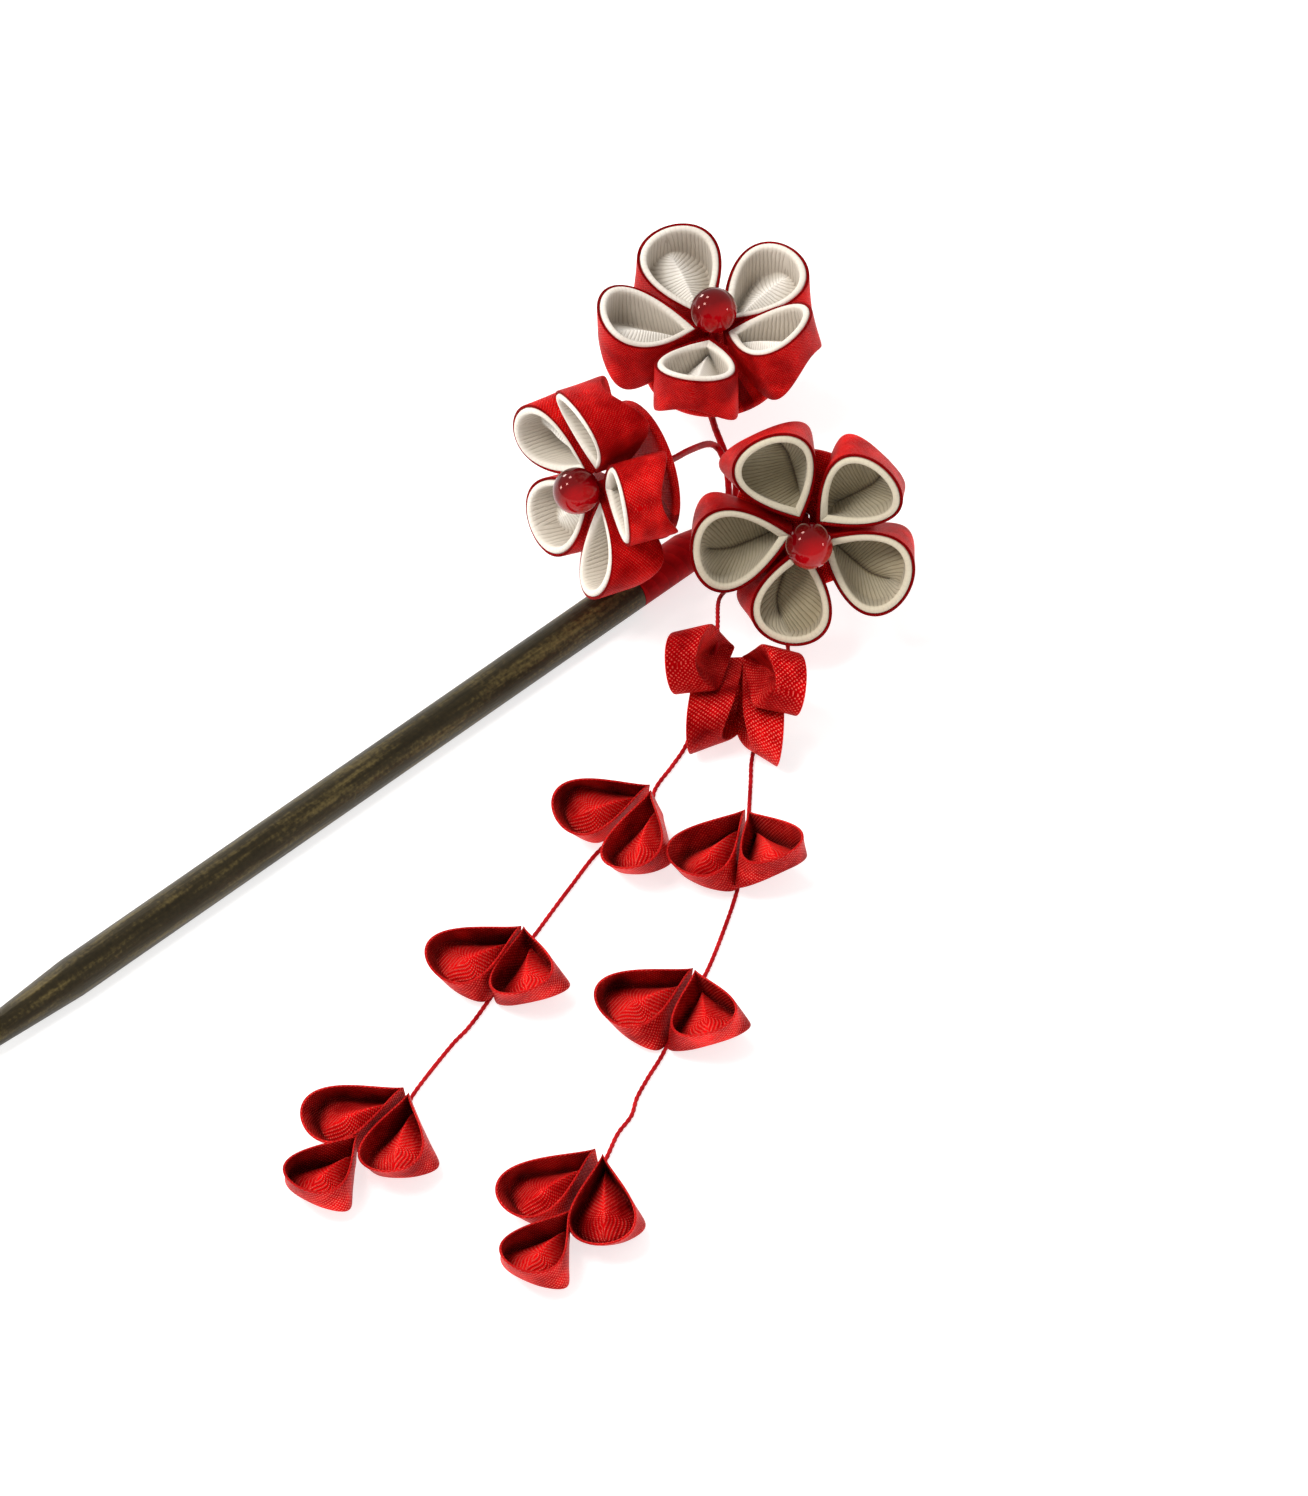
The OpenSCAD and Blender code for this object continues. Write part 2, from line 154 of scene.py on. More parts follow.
# %% Teardrop
# Steps from the pinch to the far end, on each side of the loop.
half_steps = 10


def tear(angle, fullness):
    return math.sin(angle) * abs(math.sin(angle / 2)) ** fullness


def tear_widest(fullness):
    """The widest place of the teardrop, which is always between 90 and 140 degrees round it."""
    return max(tear(math.radians(a), fullness) for a in range(90, 141, 2))


print("widest place of a plain teardrop:", round(tear_widest(1), 3))

# %% [markdown]
# ## The folds behind the rim
# From its rim the cloth goes down to a fold, and from the fold it climbs to a ridge in the middle. Fingers
# make these lines, so no formula fits them. A table of sections gives them instead, as shares of the petal's
# sizes, and a smooth curve runs through its rows.

# %% Read a table smoothly
def smooth_between(a, b, c, d, t):
    """A smooth curve from b at t = 0 to c at t = 1, whose slope follows the neighbours a and d."""
    bend = 2 * a - 5 * b + 4 * c - d
    twist = 3 * b - a - 3 * c + d
    return b + (c - a) / 2 * t + bend / 2 * t * t + twist / 2 * t ** 3


def section(table, column, i, odd):
    """A column of a table at any point of the loop, smooth between its rows. An odd one changes sides."""
    last = len(table) - 1

    def at(k):
        side = 1
        if k < 0:
            k, side = -k, -1
        if k > last:
            k, side = 2 * last - k, -side
        return table[k][column] * (side if odd else 1)

    k = math.floor(i)
    return smooth_between(at(k - 1), at(k), at(k + 1), at(min(k + 2, 2 * last)), i - k)


print("half-way between rows of 0 and 1:", section([[0], [0], [1], [1]], 0, 1.5, False))

# %% [markdown]
# ## Skins of cloth
# A liner lies inside the satin, and every cloth has an outer and an inner skin. Solidify could thicken a
# single skin, but at the narrow pinch its walls would cross. So each skin is drawn anew, with its rim, fold
# and ridge moved in by an inset, each in its own direction. A petal that is pressed open has a crease that
# runs off to one side where the others have their ridge.

# %% Rim, fold and ridge of a skin
# How far an inset of one millimetre takes the rim and the fold forward, and the fold and the ridge up.
rim_forward, fold_forward, fold_lift, ridge_lift = 1.6, 0.6, 1.4, 1.3
# The fold's corners are rounded over this many steps to each side.
corner_softness = 0.7
# How fast a crease runs aside, how far along it does so, and how deep it lies as a share of the depth. It is
# full after so many steps of the loop, and turns back by this share at the far end.
crease_slope, crease_end, crease_depth = 0.2, 13.2, 0.97
crease_full_after, crease_return = 2, 0.5


def drawn_in(p, x, y, z, inset, forward, lift):
    return Vector((p["start"] + forward * inset + x * (1 - (forward + 1) * inset / p["length"]),
                   y * (1 - 2 * inset / p["width"]), z + lift * inset))


def fold_shares(p, table, i):
    """The fold's place along, aside and down at step i of the loop, as shares."""
    left = i <= half_steps
    k = i if left else 2 * half_steps - i
    side = p["left"] if left else -p["right"]
    along, aside, down = section(table, 0, k, False), section(table, 1, k, True), section(table, 2, k, False)
    return Vector((along, side * aside, down))


def skin_lines(p, table, u, inset, swell=0.0):
    """The rim, the fold and the ridge of a skin at share u of the way round its loop."""
    i = u * 2 * half_steps
    angle = i * math.pi / half_steps
    share = (1 - math.cos(angle)) / 2
    side = p["width"] / 2 * tear(angle, p["fullness"]) / tear_widest(p["fullness"])
    rim = drawn_in(p, p["length"] * share, side, p["rise"] * share, inset, rim_forward, 0)
    before, here, after = [fold_shares(p, table, i + step) for step in (-corner_softness, 0, corner_softness)]
    along, aside, depth = (before + 2 * here + after) / 4
    fold = drawn_in(p, p["length"] * along, aside * p["width"] / 2, p["rise"] * along - p["depth"] * depth,
                    inset, fold_forward, fold_lift)
    k = i if i <= half_steps else 2 * half_steps - i
    along, depth = section(table, 3, k, False), section(table, 4, k, False)
    if p["crease"]:
        depth += (crease_depth - depth) * min(1.0, k / crease_full_after)
    ridge = drawn_in(p, p["length"] * along, 0, p["rise"] * along - p["depth"] * depth, inset,
                     fold_forward, ridge_lift)
    if p["crease"]:
        straighter = 1 - crease_return * (k / half_steps) ** 4
        ridge.y += p["crease"] * crease_slope * min(ridge.x, crease_end) * straighter
        fold.z += swell * math.sin(math.pi * k / half_steps * 0.5)
    return rim, fold, ridge


print("steps round a loop:", 2 * half_steps)

# %% [markdown]
# ## The profile of the cloth
# Cut a petal across and follow its cloth: up from the ridge, over the fold to the rim on the outer skin, and
# back again on the inner one. A Bevel modifier could round the rim, but it would round the pinch too. A table
# says instead where each row of the grid lies: shares of rim, fold and ridge, the skin (0 outer, 1 inner),
# and how much of the crown lifts it. The rows close to a fold keep it crisp when Subdivision rounds it.

# %% Profile table
PROFILE = [
    # rim, fold, ridge, inner, crown
    (0.00, 0.00, 1.00, 0.0, 0.0),
    (0.00, 0.08, 0.92, 0.0, 0.0),
    (0.00, 0.34, 0.66, 0.0, 0.0),
    (0.00, 0.66, 0.34, 0.0, 0.0),
    (0.00, 0.92, 0.08, 0.0, 0.0),
    (0.03, 0.94, 0.03, 0.0, 0.0),
    (0.08, 0.92, 0.00, 0.0, 0.0),
    (0.36, 0.64, 0.00, 0.0, 0.0),
    (0.68, 0.32, 0.00, 0.0, 0.0),
    (0.93, 0.07, 0.00, 0.0, 0.0),
    (1.00, 0.00, 0.00, 0.0, 0.0),
    (1.00, 0.00, 0.00, 0.2, 0.8),
    (1.00, 0.00, 0.00, 0.5, 1.0),
    (1.00, 0.00, 0.00, 0.8, 0.8),
    (1.00, 0.00, 0.00, 1.0, 0.0),
    (0.93, 0.07, 0.00, 1.0, 0.0),
    (0.68, 0.32, 0.00, 1.0, 0.0),
    (0.36, 0.64, 0.00, 1.0, 0.0),
    (0.08, 0.92, 0.00, 1.0, 0.0),
    (0.03, 0.94, 0.03, 1.0, 0.0),
    (0.00, 0.92, 0.08, 1.0, 0.0),
    (0.00, 0.66, 0.34, 1.0, 0.0),
    (0.00, 0.34, 0.66, 1.0, 0.0),
    (0.00, 0.08, 0.92, 1.0, 0.0),
    (0.00, 0.00, 1.00, 1.0, 0.0),
]
print(len(PROFILE), "rows from the outer ridge to the inner one")

# %% [markdown]
# Inside a petal the light dies beside the fold, and in a crease most of all. A lamp could show this, but
# studio light is soft and washes it out. So the inner rows of the profile carry a painted shade value, which
# the materials read: painted shade beside the fold, and painted light (values below zero) on the ridge. The
# keys are row numbers of the profile.

# %% Shade in the folds
FOLD_SHADE = {15: 0.2, 16: 0.45, 17: 0.7, 18: 0.9, 19: 1.0, 20: 0.6, 21: -0.2, 22: -0.5, 23: -0.7, 24: -0.8}
# Painted shade for the narrow side of a crease (1) and for its wide side (-1): a dark painted line along the
# crease, and the whole wide side painted darker.
CREASE_SHADE = {1: {23: 0.15, 24: 1.6},
                -1: {16: 0.1, 17: 0.25, 18: 0.35, 19: 0.4, 20: 0.42, 21: 0.42, 22: 0.4, 23: 0.45, 24: 1.6}}
print("darkest row beside a fold:", max(FOLD_SHADE, key=FOLD_SHADE.get))

# %% [markdown]
# ## A layer of a petal
# The red satin, the white liner and a falling petal are all this one piece, at another inset and with
# another cloth. The grid's columns go round the loop, and its rows follow the profile. On the cloth's map
# the inner skin starts a little past the outer one, so a material can tell them apart.

# %% Petal layer
# How far the weave runs aside for each millimetre down the wall.
slant = 0.18
# How far on the map the inner skin starts past the outer one.
skin_offset = 2
# From the pinch, the shares of the loop over which the crown and a crease's shade grow to full.
crown_full_after, crease_shade_full_after = 1 / 8, 1 / 6


def petal_piece(name, p, table, start, cloth, crown, place_petal, columns, swell=0.0):
    """One layer of a petal from inset start, as thick as cloth, with its rim rounded up by crown."""
    rows = len(PROFILE) - 1
    depths = sorted({row[3] for row in PROFILE})
    lines = {(c, inner): skin_lines(p, table, c / columns, start + inner * cloth, swell * inner)
             for c in range(columns + 1) for inner in depths}
    around = [0.0]
    for c in range(columns):
        step = (lines[c + 1, 0][0] - lines[c, 0][0]).length + (lines[c + 1, 0][1] - lines[c, 0][1]).length
        around.append(around[-1] + step / 2)

    def point(u, v):
        rim_share, fold_share, ridge_share, inner, up = PROFILE[round(v * rows)]
        rim, fold, ridge = lines[round(u * columns), inner]
        low_at_pinch = min(1.0, u / crown_full_after, (1 - u) / crown_full_after)
        lifted = Vector((0, 0, up * crown * low_at_pinch))
        return rim * rim_share + fold * fold_share + ridge * ridge_share + lifted

    def weave_at(u, v):
        k, c = round(v * rows), round(u * columns)
        rim, fold, ridge = lines[c, 0]
        down = (1 - PROFILE[k][0]) * (rim - fold).length + PROFILE[k][2] * (fold - ridge).length
        aside = slant * down * (1 if u < 0.5 else -1)
        return (around[c] + aside, down if k < rows / 2 else -down - skin_offset)

    def shade_at(u, v):
        """Painted shade, how little light reaches: more beside the fold inside, and most of all in a crease;
        below zero it is painted light, on the ridge.
        """
        row = round(v * rows)
        if not p["crease"]:
            return FOLD_SHADE.get(row, 0.0)
        side = 1 if u < 0.5 else -1
        grows = min(1.0, u / crease_shade_full_after, (1 - u) / crease_shade_full_after)
        return CREASE_SHADE[side * p["crease"]].get(row, 0.0) * grows

    return folded_grid(name, columns, rows, lambda u, v: place_petal @ point(u, v), weave_at,
                       shade_at=shade_at)


print("rows of cells in a petal layer:", len(PROFILE) - 1)

# %% [markdown]
# ## Where the flowers stand
# On the real hairpin each flower is bent on its wire to face its own way: one up, one to the side and one
# to the camera. Empty parents could carry the petals, but a finished piece has its place in its mesh. So
# each flower and each petal has a matrix, made of plain turns, that its points go through.

# %% Places of flowers and petals
petals_round = 5
flower_names = ["top", "left", "right"]
# Shifts every place in the tables so that the middle of the whole hairpin is at the origin.
plan_shift = [60.76, 30.73]
flower_at = [[29, 24, 20], [-14.5, 6, 28], [7.5, -23, 23]]
# Columns: azimuth that the flower faces, lean away from upright, and turn about its own axis, in degrees.
flower_pose = [[90, 3, 342], [166, 82.5, 264], [-131, 58, 204.5]]
# Columns: turn and lift in degrees, size, and how far the left and the right bottom corner stand out.
petal_habit = [
    [
        [0.5, 5, 1.03, 1, 1], [-0.3, -1.3, 1.01, 1, 1], [0.8, 8.5, 1.01, 1, 1], [-0.2, 2, 1, 1, 1],
        [-0.9, 3, 1.05, 1, 1]
    ],
    [
        [0.7, 4, 0.95, 1, 1], [0.2, -0.6, 1, 1, 1], [0.7, -4.5, 0.99, 1, 1], [0, 2, 0.98, 1, 1],
        [-1, 3, 0.96, 1, 1]
    ],
    [
        [-0.8, -5, 1.01, 1.3, 1], [0.2, 2.7, 0.99, 1, 1], [0.6, 0.2, 1.01, 1, 1], [-1, -2.6, 0.97, 1, 1.28],
        [0.8, -1.9, 1.04, 1, 1]
    ]
]


def turned(axis, degrees):
    return Matrix.Rotation(math.radians(degrees), 4, axis)


def at_flower(f):
    azimuth, lean, turn = flower_pose[f]
    place = Matrix.Translation(Vector(flower_at[f]) + Vector((*plan_shift, 0)))
    return place @ turned("Z", azimuth) @ turned("Y", lean) @ turned("Z", turn)


def at_petal(f, k):
    turn, lift = petal_habit[f][k][:2]
    return at_flower(f) @ turned("Z", turn - k * 360 / petals_round) @ turned("Y", -lift)


print("flowers at:", dict(zip(flower_names, flower_at)))

# %% [markdown]
# ## Materials
# Every surface here is patterned: woven, ribbed, grained or crinkled. The patterns could be pictures wrapped
# round the pieces, but nodes work them out at any size and need no file. These helpers keep the node trees
# short: each makes a node, sets its inputs or links them, and gives back what comes next.

# %% Node helpers
def add_node(tree, kind, inputs=(), **settings):
    """A node with its settings made, and each of its inputs set to a value or linked to a socket."""
    made = tree.nodes.new(kind)
    for key, value in settings.items():
        setattr(made, key, value)
    for key, value in dict(inputs).items():
        if isinstance(value, bpy.types.NodeSocket):
            tree.links.new(value, made.inputs[key])
        else:
            made.inputs[key].default_value = value
    return made


def maths(tree, operation, *values, clamp=False):
    made = add_node(tree, "ShaderNodeMath", enumerate(values), operation=operation, use_clamp=clamp)
    return made.outputs[0]


def weighed(tree, first, first_share, second, second_share):
    """The sum of two values, each times its share."""
    return maths(tree, "ADD", maths(tree, "MULTIPLY", first, first_share),
                 maths(tree, "MULTIPLY", second, second_share))


def opaque(colour):
    return (*colour, 1.0)


def ramp(tree, value, *stops):
    made = add_node(tree, "ShaderNodeValToRGB", {"Fac": value})
    elements = made.color_ramp.elements
    for place, colour in stops[2:]:
        elements.new(place)
    for element, (place, colour) in zip(elements, sorted(stops)):
        element.position = place
        element.color = opaque(colour)
    return made.outputs["Color"]


def mixed(tree, share, first, second):
    """The first colour where share is 0, and the second one where it is 1."""
    return add_node(tree, "ShaderNodeMix", {0: share, 6: first, 7: second}, data_type="RGBA").outputs[2]


def smooth_mask(tree, value, none_at, full_at):
    """0 where the value is at none_at, 1 where it is at full_at, and smooth between."""
    return add_node(tree, "ShaderNodeMapRange", {"Value": value, "From Min": none_at, "From Max": full_at},
                    interpolation_type="SMOOTHSTEP").outputs["Result"]


def cloth_coordinates(tree):
    return add_node(tree, "ShaderNodeUVMap", uv_map="cloth").outputs["UV"]


def object_coordinates(tree):
    return add_node(tree, "ShaderNodeTexCoord").outputs["Object"]


def shade_value(tree):
    return add_node(tree, "ShaderNodeAttribute", attribute_name="shade").outputs["Fac"]


print("node helpers ready")

# %% Groups and new materials
def new_group(name, inputs, outputs):
    group = bpy.data.node_groups.new(name, "ShaderNodeTree")
    for label, kind, default in inputs:
        socket = group.interface.new_socket(label, in_out="INPUT", socket_type=kind)
        if default is not None:
            socket.default_value = default
    for label, kind in outputs:
        group.interface.new_socket(label, in_out="OUTPUT", socket_type=kind)
    return group, group.nodes.new("NodeGroupInput"), group.nodes.new("NodeGroupOutput")


def use_group(tree, group, **inputs):
    made = tree.nodes.new("ShaderNodeGroup")
    made.node_tree = group
    for key, value in inputs.items():
        if isinstance(value, bpy.types.NodeSocket):
            tree.links.new(value, made.inputs[key])
        else:
            made.inputs[key].default_value = value
    return made.outputs


def new_material(name, gloss, tint):
    """A material with its mirror gloss and the tint of it, and its tree and shader."""
    material = bpy.data.materials.new(name)
    material.use_nodes = True
    shader = material.node_tree.nodes["Principled BSDF"]
    shader.inputs["Specular IOR Level"].default_value = gloss
    shader.inputs["Specular Tint"].default_value = opaque(tint)
    return material, material.node_tree, shader


def set_look(tree, shader, colour, roughness, bump):
    """Links the colour and the bump, and links or sets the roughness."""
    tree.links.new(colour, shader.inputs["Base Color"])
    tree.links.new(bump.outputs["Normal"], shader.inputs["Normal"])
    if isinstance(roughness, bpy.types.NodeSocket):
        tree.links.new(roughness, shader.inputs["Roughness"])
    else:
        shader.inputs["Roughness"].default_value = roughness


FLOAT, VECTOR = "NodeSocketFloat", "NodeSocketVector"
print("groups pass on", FLOAT, "and", VECTOR)

# %% [markdown]
# Satin, and thread too, shows where its threads cross. Real threads could be modelled, but they are a tenth
# of a millimetre thick and too many. Two waves across each other make the same small hills, and Waver sets
# how unevenly they run.

# %% Weave
def make_weave_group():
    """Threads that cross: a height from 0 to 1, and a mask of the spots where a thread stands up."""
    inputs = [("Cloth", VECTOR, None), ("Pitch", FLOAT, 0.4), ("Waver", FLOAT, 0.3)]
    g, given, out = new_group("woven threads", inputs, [("Height", FLOAT), ("Spots", FLOAT)])
    cloth = given.outputs["Cloth"]
    wobble = add_node(g, "ShaderNodeTexNoise", {"Vector": cloth, "Scale": 1.2, "Detail": 2.0})
    offset = maths(g, "MULTIPLY", maths(g, "SUBTRACT", wobble.outputs["Fac"], 0.5), given.outputs["Waver"])
    parts = add_node(g, "ShaderNodeSeparateXYZ", {"Vector": cloth})
    waves = []
    for axis, half_step in (("X", 0.0), ("Y", 0.25)):
        along = maths(g, "ADD", parts.outputs[axis], offset)
        turns = maths(g, "ADD", maths(g, "DIVIDE", along, given.outputs["Pitch"]), half_step)
        waves.append(maths(g, "SINE", maths(g, "MULTIPLY", turns, 2 * math.pi)))
    crossed = maths(g, "MULTIPLY", waves[0], waves[1])
    height = maths(g, "MULTIPLY_ADD", crossed, 0.5, 0.5)
    g.links.new(height, out.inputs["Height"])
    g.links.new(smooth_mask(g, height, 0.62, 0.95), out.inputs["Spots"])
    return g


weave_group = make_weave_group()
print("group:", weave_group.name)

# %% [markdown]
# Grosgrain is woven over thick cords, which show as round ribs side by side. A sine alone would give waves
# as broad as their valleys, so its absolute value is raised to a power below one, which leaves round ribs
# with narrow valleys. Fine threads run across each rib.

# %% Ribs
fine_thread_pitch = 0.32


def make_rib_group():
    """Round ribs side by side along the cloth's first way, and a mask of the valleys between them."""
    inputs = [("Cloth", VECTOR, None), ("Pitch", FLOAT, 0.95), ("Waver", FLOAT, 0.35)]
    g, given, out = new_group("ribs", inputs, [("Height", FLOAT), ("Valley", FLOAT)])
    cloth = given.outputs["Cloth"]
    wobble = add_node(g, "ShaderNodeTexNoise", {"Vector": cloth, "Scale": 0.55, "Detail": 1.0})
    offset = maths(g, "MULTIPLY", maths(g, "SUBTRACT", wobble.outputs["Fac"], 0.5), given.outputs["Waver"])
    parts = add_node(g, "ShaderNodeSeparateXYZ", {"Vector": cloth})
    turns = maths(g, "DIVIDE", maths(g, "ADD", parts.outputs["X"], offset), given.outputs["Pitch"])
    wave = maths(g, "SINE", maths(g, "MULTIPLY", turns, math.pi))
    rib = maths(g, "POWER", maths(g, "ABSOLUTE", wave), 0.55)
    fine = maths(g, "SINE", maths(g, "MULTIPLY", parts.outputs["Y"], 2 * math.pi / fine_thread_pitch))
    g.links.new(maths(g, "MULTIPLY_ADD", fine, 0.06, rib), out.inputs["Height"])
    g.links.new(smooth_mask(g, rib, 0.75, 0.15), out.inputs["Valley"])
    return g


rib_group = make_rib_group()
print("group:", rib_group.name)

# %% [markdown]
# Nothing handmade is one even tone. Slow patches make it lighter and darker, and fine grains break up its
# gloss. Both come from noise, one coarse and one fine, and every material here uses them.

# %% Patches
def make_patch_group():
    """Slow uneven patches of tone, and fine grains on top of them."""
    inputs = [("Place", VECTOR, None), ("Scale", FLOAT, 120.0), ("Grain", FLOAT, 2500.0)]
    g, given, out = new_group("patches", inputs, [("Slow", FLOAT), ("Fine", FLOAT)])
    place, coarse, small = [given.outputs[label] for label in ("Place", "Scale", "Grain")]
    slow = add_node(g, "ShaderNodeTexNoise",
                    {"Vector": place, "Scale": coarse, "Detail": 3.0, "Roughness": 0.55})
    fine = add_node(g, "ShaderNodeTexNoise",
                    {"Vector": place, "Scale": small, "Detail": 2.0, "Roughness": 0.6})
    g.links.new(slow.outputs["Fac"], out.inputs["Slow"])
    g.links.new(fine.outputs["Fac"], out.inputs["Fine"])
    return g


patch_group = make_patch_group()
print("group:", patch_group.name)

# %% [markdown]
# ## Satin
# Red satin is dark in its folds and bright where it turns to the light, with glints where a thread stands
# up. Gloss alone could do it, but white lamps would turn the red pink. So light and shade are painted into
# the
# colour: it goes from deep to bright with slow random patches and with the painted shade, which darkens the
# folds and lightens the ridges, and painted glints are mixed in as a colour where the patches are light. The
# gloss is tinted red. The cut edge along the rim is given a colour of its own, darker than the satin on the
# flowers and lighter on the strings.

# %% Edge mask
def rim_mask(tree, where, reach):
    """1 on the cut edge of the cloth, 0 further down it. The cloth's second way counts from the rim."""
    parts = add_node(tree, "ShaderNodeSeparateXYZ", {"Vector": where})
    half_way = skin_offset / 2
    off = maths(tree, "ABSOLUTE", maths(tree, "ADD", parts.outputs["Y"], half_way))
    return smooth_mask(tree, off, half_way + reach, half_way)


print("on the cloth's map the cut edge lies between 0 and", -skin_offset)

# %% Satin
# The colour of the painted glints: painted highlights on the threads that stand up.
painted_glint_colour = (1.0, 0.17, 0.13)
# How high threads and creases stand, in metres.
thread_height, crease_height = 0.00016, 0.0012


def satin(name, deep, middle, bright, edge, edge_share, pitch, painted_glint_share, least_painted_light):
    material, tree, shader = new_material(name, 0.04, (1.0, 0.12, 0.08))
    where = cloth_coordinates(tree)
    weave = use_group(tree, weave_group, Cloth=where, Pitch=pitch, Waver=0.45)
    patch = use_group(tree, patch_group, Place=object_coordinates(tree), Scale=160.0, Grain=2600.0)
    # Where painted glints go: the spots where a thread stands up, in the lighter slow patches.
    spots = maths(tree, "MULTIPLY", weave["Spots"], maths(tree, "MULTIPLY_ADD", patch["Slow"], 2.6, -0.6))
    # The tone is slow random patches less the painted shade of the folds; where the shade value is below zero
    # it adds painted light on the ridges.
    tone = maths(tree, "SUBTRACT", patch["Slow"], maths(tree, "MULTIPLY", shade_value(tree), 0.35))
    body = ramp(tree, tone, (0.16, deep), (0.5, middle), (0.8, bright))
    # How much painted light a glint gets: the tone, but never less than the given least.
    light = maths(tree, "MAXIMUM", tone, least_painted_light)
    painted_glints = maths(tree, "MULTIPLY", maths(tree, "MULTIPLY", spots, painted_glint_share), light, clamp=True)
    with_painted_glints = mixed(tree, painted_glints, body, opaque(painted_glint_colour))
    on_edge = maths(tree, "MULTIPLY", rim_mask(tree, where, 0.15), edge_share)
    height = maths(tree, "ADD", weave["Height"], maths(tree, "MULTIPLY", patch["Fine"], 0.7))
    creases = add_node(tree, "ShaderNodeBump", {"Height": patch["Slow"], "Strength": 0.22,
                                                "Distance": crease_height})
    bump = add_node(tree, "ShaderNodeBump", {"Height": height, "Normal": creases.outputs["Normal"],
                                             "Strength": 0.9, "Distance": thread_height})
    rough = maths(tree, "SUBTRACT", 0.36, maths(tree, "MULTIPLY", spots, 0.12))
    set_look(tree, shader, mixed(tree, on_edge, with_painted_glints, opaque(edge)), rough, bump)
    shader.inputs["Metallic"].default_value = 0.35
    return material


petal_satin = satin("red satin", deep=(0.12, 0.0001, 0.0008), middle=(0.44, 0.0003, 0.0015),
                    bright=(0.9, 0.002, 0.003), edge=(0.2, 0.0006, 0.002), edge_share=0.8,
                    pitch=0.58, painted_glint_share=0.75, least_painted_light=0.0)
drop_satin = satin("red satin of the strings", deep=(0.09, 0.0001, 0.0008), middle=(0.42, 0.0004, 0.002),
                   bright=(0.95, 0.004, 0.006), edge=(0.85, 0.02, 0.02), edge_share=0.6,
                   pitch=0.8, painted_glint_share=2.0, least_painted_light=0.35)
print("satins:", petal_satin.name, "and", drop_satin.name)

# %% [markdown]
# ## Grosgrain
# The liners are white ribbon with ribs. In the photograph the right flower's are warmer and darker, as it is
# turned away from the light. One material could serve all, but two sets of four tones, from lit to shaded,
# follow the light there more closely: light and shade are painted in, and the right flower's liners wear a
# darker copy with painted shade.

# %% Grosgrain
rib_height = 0.0002


def grosgrain(name, lit, light, middle, shade, inside_painted_shade):
    material, tree, shader = new_material(name, 0.5, (1.0, 1.0, 1.0))
    where = cloth_coordinates(tree)
    ribs = use_group(tree, rib_group, Cloth=where, Pitch=0.95, Waver=0.35)
    patch = use_group(tree, patch_group, Place=object_coordinates(tree), Scale=140.0, Grain=3000.0)
    # Painted shade: away from the rim band, inside the petal, the ribbon is painted darker, and its rib
    # valleys darker still.
    inside = maths(tree, "SUBTRACT", 1.0, rim_mask(tree, where, 1.2))
    valley = maths(tree, "MULTIPLY", ribs["Valley"], maths(tree, "MULTIPLY_ADD", inside, 0.2, 0.06))
    tone = maths(tree, "ADD", valley, maths(tree, "MULTIPLY", patch["Slow"], 0.2))
    tone = maths(tree, "ADD", tone, maths(tree, "MULTIPLY", inside, inside_painted_shade))
    # The shade value adds painted shade beside the folds, and painted light on the ridges where it is below
    # zero.
    tone = maths(tree, "ADD", tone, maths(tree, "MULTIPLY", shade_value(tree), 0.4))
    colour = ramp(tree, tone, (0.0, lit), (0.12, light), (0.5, middle), (1.0, shade))
    rib_share = maths(tree, "MULTIPLY_ADD", inside, 0.85, 0.15)
    height = maths(tree, "ADD", maths(tree, "MULTIPLY", ribs["Height"], rib_share),
                   maths(tree, "MULTIPLY", patch["Fine"], 0.5))
    bump = add_node(tree, "ShaderNodeBump", {"Height": height, "Strength": 0.7, "Distance": rib_height})
    set_look(tree, shader, colour, 0.8, bump)
    shader.inputs["Sheen Weight"].default_value = 0.15
    shader.inputs["Sheen Roughness"].default_value = 0.5
    return material


white_ribbon = grosgrain("white grosgrain", lit=(0.88, 0.84, 0.78), light=(0.7, 0.65, 0.575),
                         middle=(0.55, 0.495, 0.42), shade=(0.26, 0.2, 0.15), inside_painted_shade=0.12)
shaded_ribbon = grosgrain("shaded grosgrain", lit=(0.66, 0.6, 0.47), light=(0.6, 0.54, 0.41),
                          middle=(0.34, 0.285, 0.18), shade=(0.06, 0.035, 0.02), inside_painted_shade=0.18)
print("ribbons:", white_ribbon.name, "and", shaded_ribbon.name)

# %% [markdown]
# ## Wood
# The stick is dark lacquered wood, with long grain that shows as thin olive streaks. A wood picture would
# show its seams on a round stick. Noise that is stretched along the stick has none, and a second noise
# speckles it.

# %% Dark wood
along_grain = 0.07


def dark_wood():
    material, tree, shader = new_material("dark wood", 0.4, (1.0, 0.85, 0.55))
    where = object_coordinates(tree)
    stretched = add_node(tree, "ShaderNodeMapping", {"Vector": where, "Scale": (along_grain, 1.0, 1.0)})
    grain = use_group(tree, patch_group, Place=stretched.outputs["Vector"], Scale=700.0, Grain=4200.0)
    spots = use_group(tree, patch_group, Place=where, Scale=260.0, Grain=1500.0)
    tone = weighed(tree, grain["Slow"], 0.7, spots["Fine"], 0.3)
    colour = ramp(tree, tone, (0.38, (0.004, 0.003, 0.0015)), (0.5, (0.013, 0.0095, 0.004)),
                  (0.66, (0.09, 0.067, 0.024)))
    bump = add_node(tree, "ShaderNodeBump", {"Height": maths(tree, "ADD", grain["Slow"], grain["Fine"]),
                                             "Strength": 0.35, "Distance": 0.00015})
    set_look(tree, shader, colour, maths(tree, "MULTIPLY_ADD", spots["Fine"], 0.35, 0.25), bump)
    return material


wood_material = dark_wood()
print("wood:", wood_material.name)

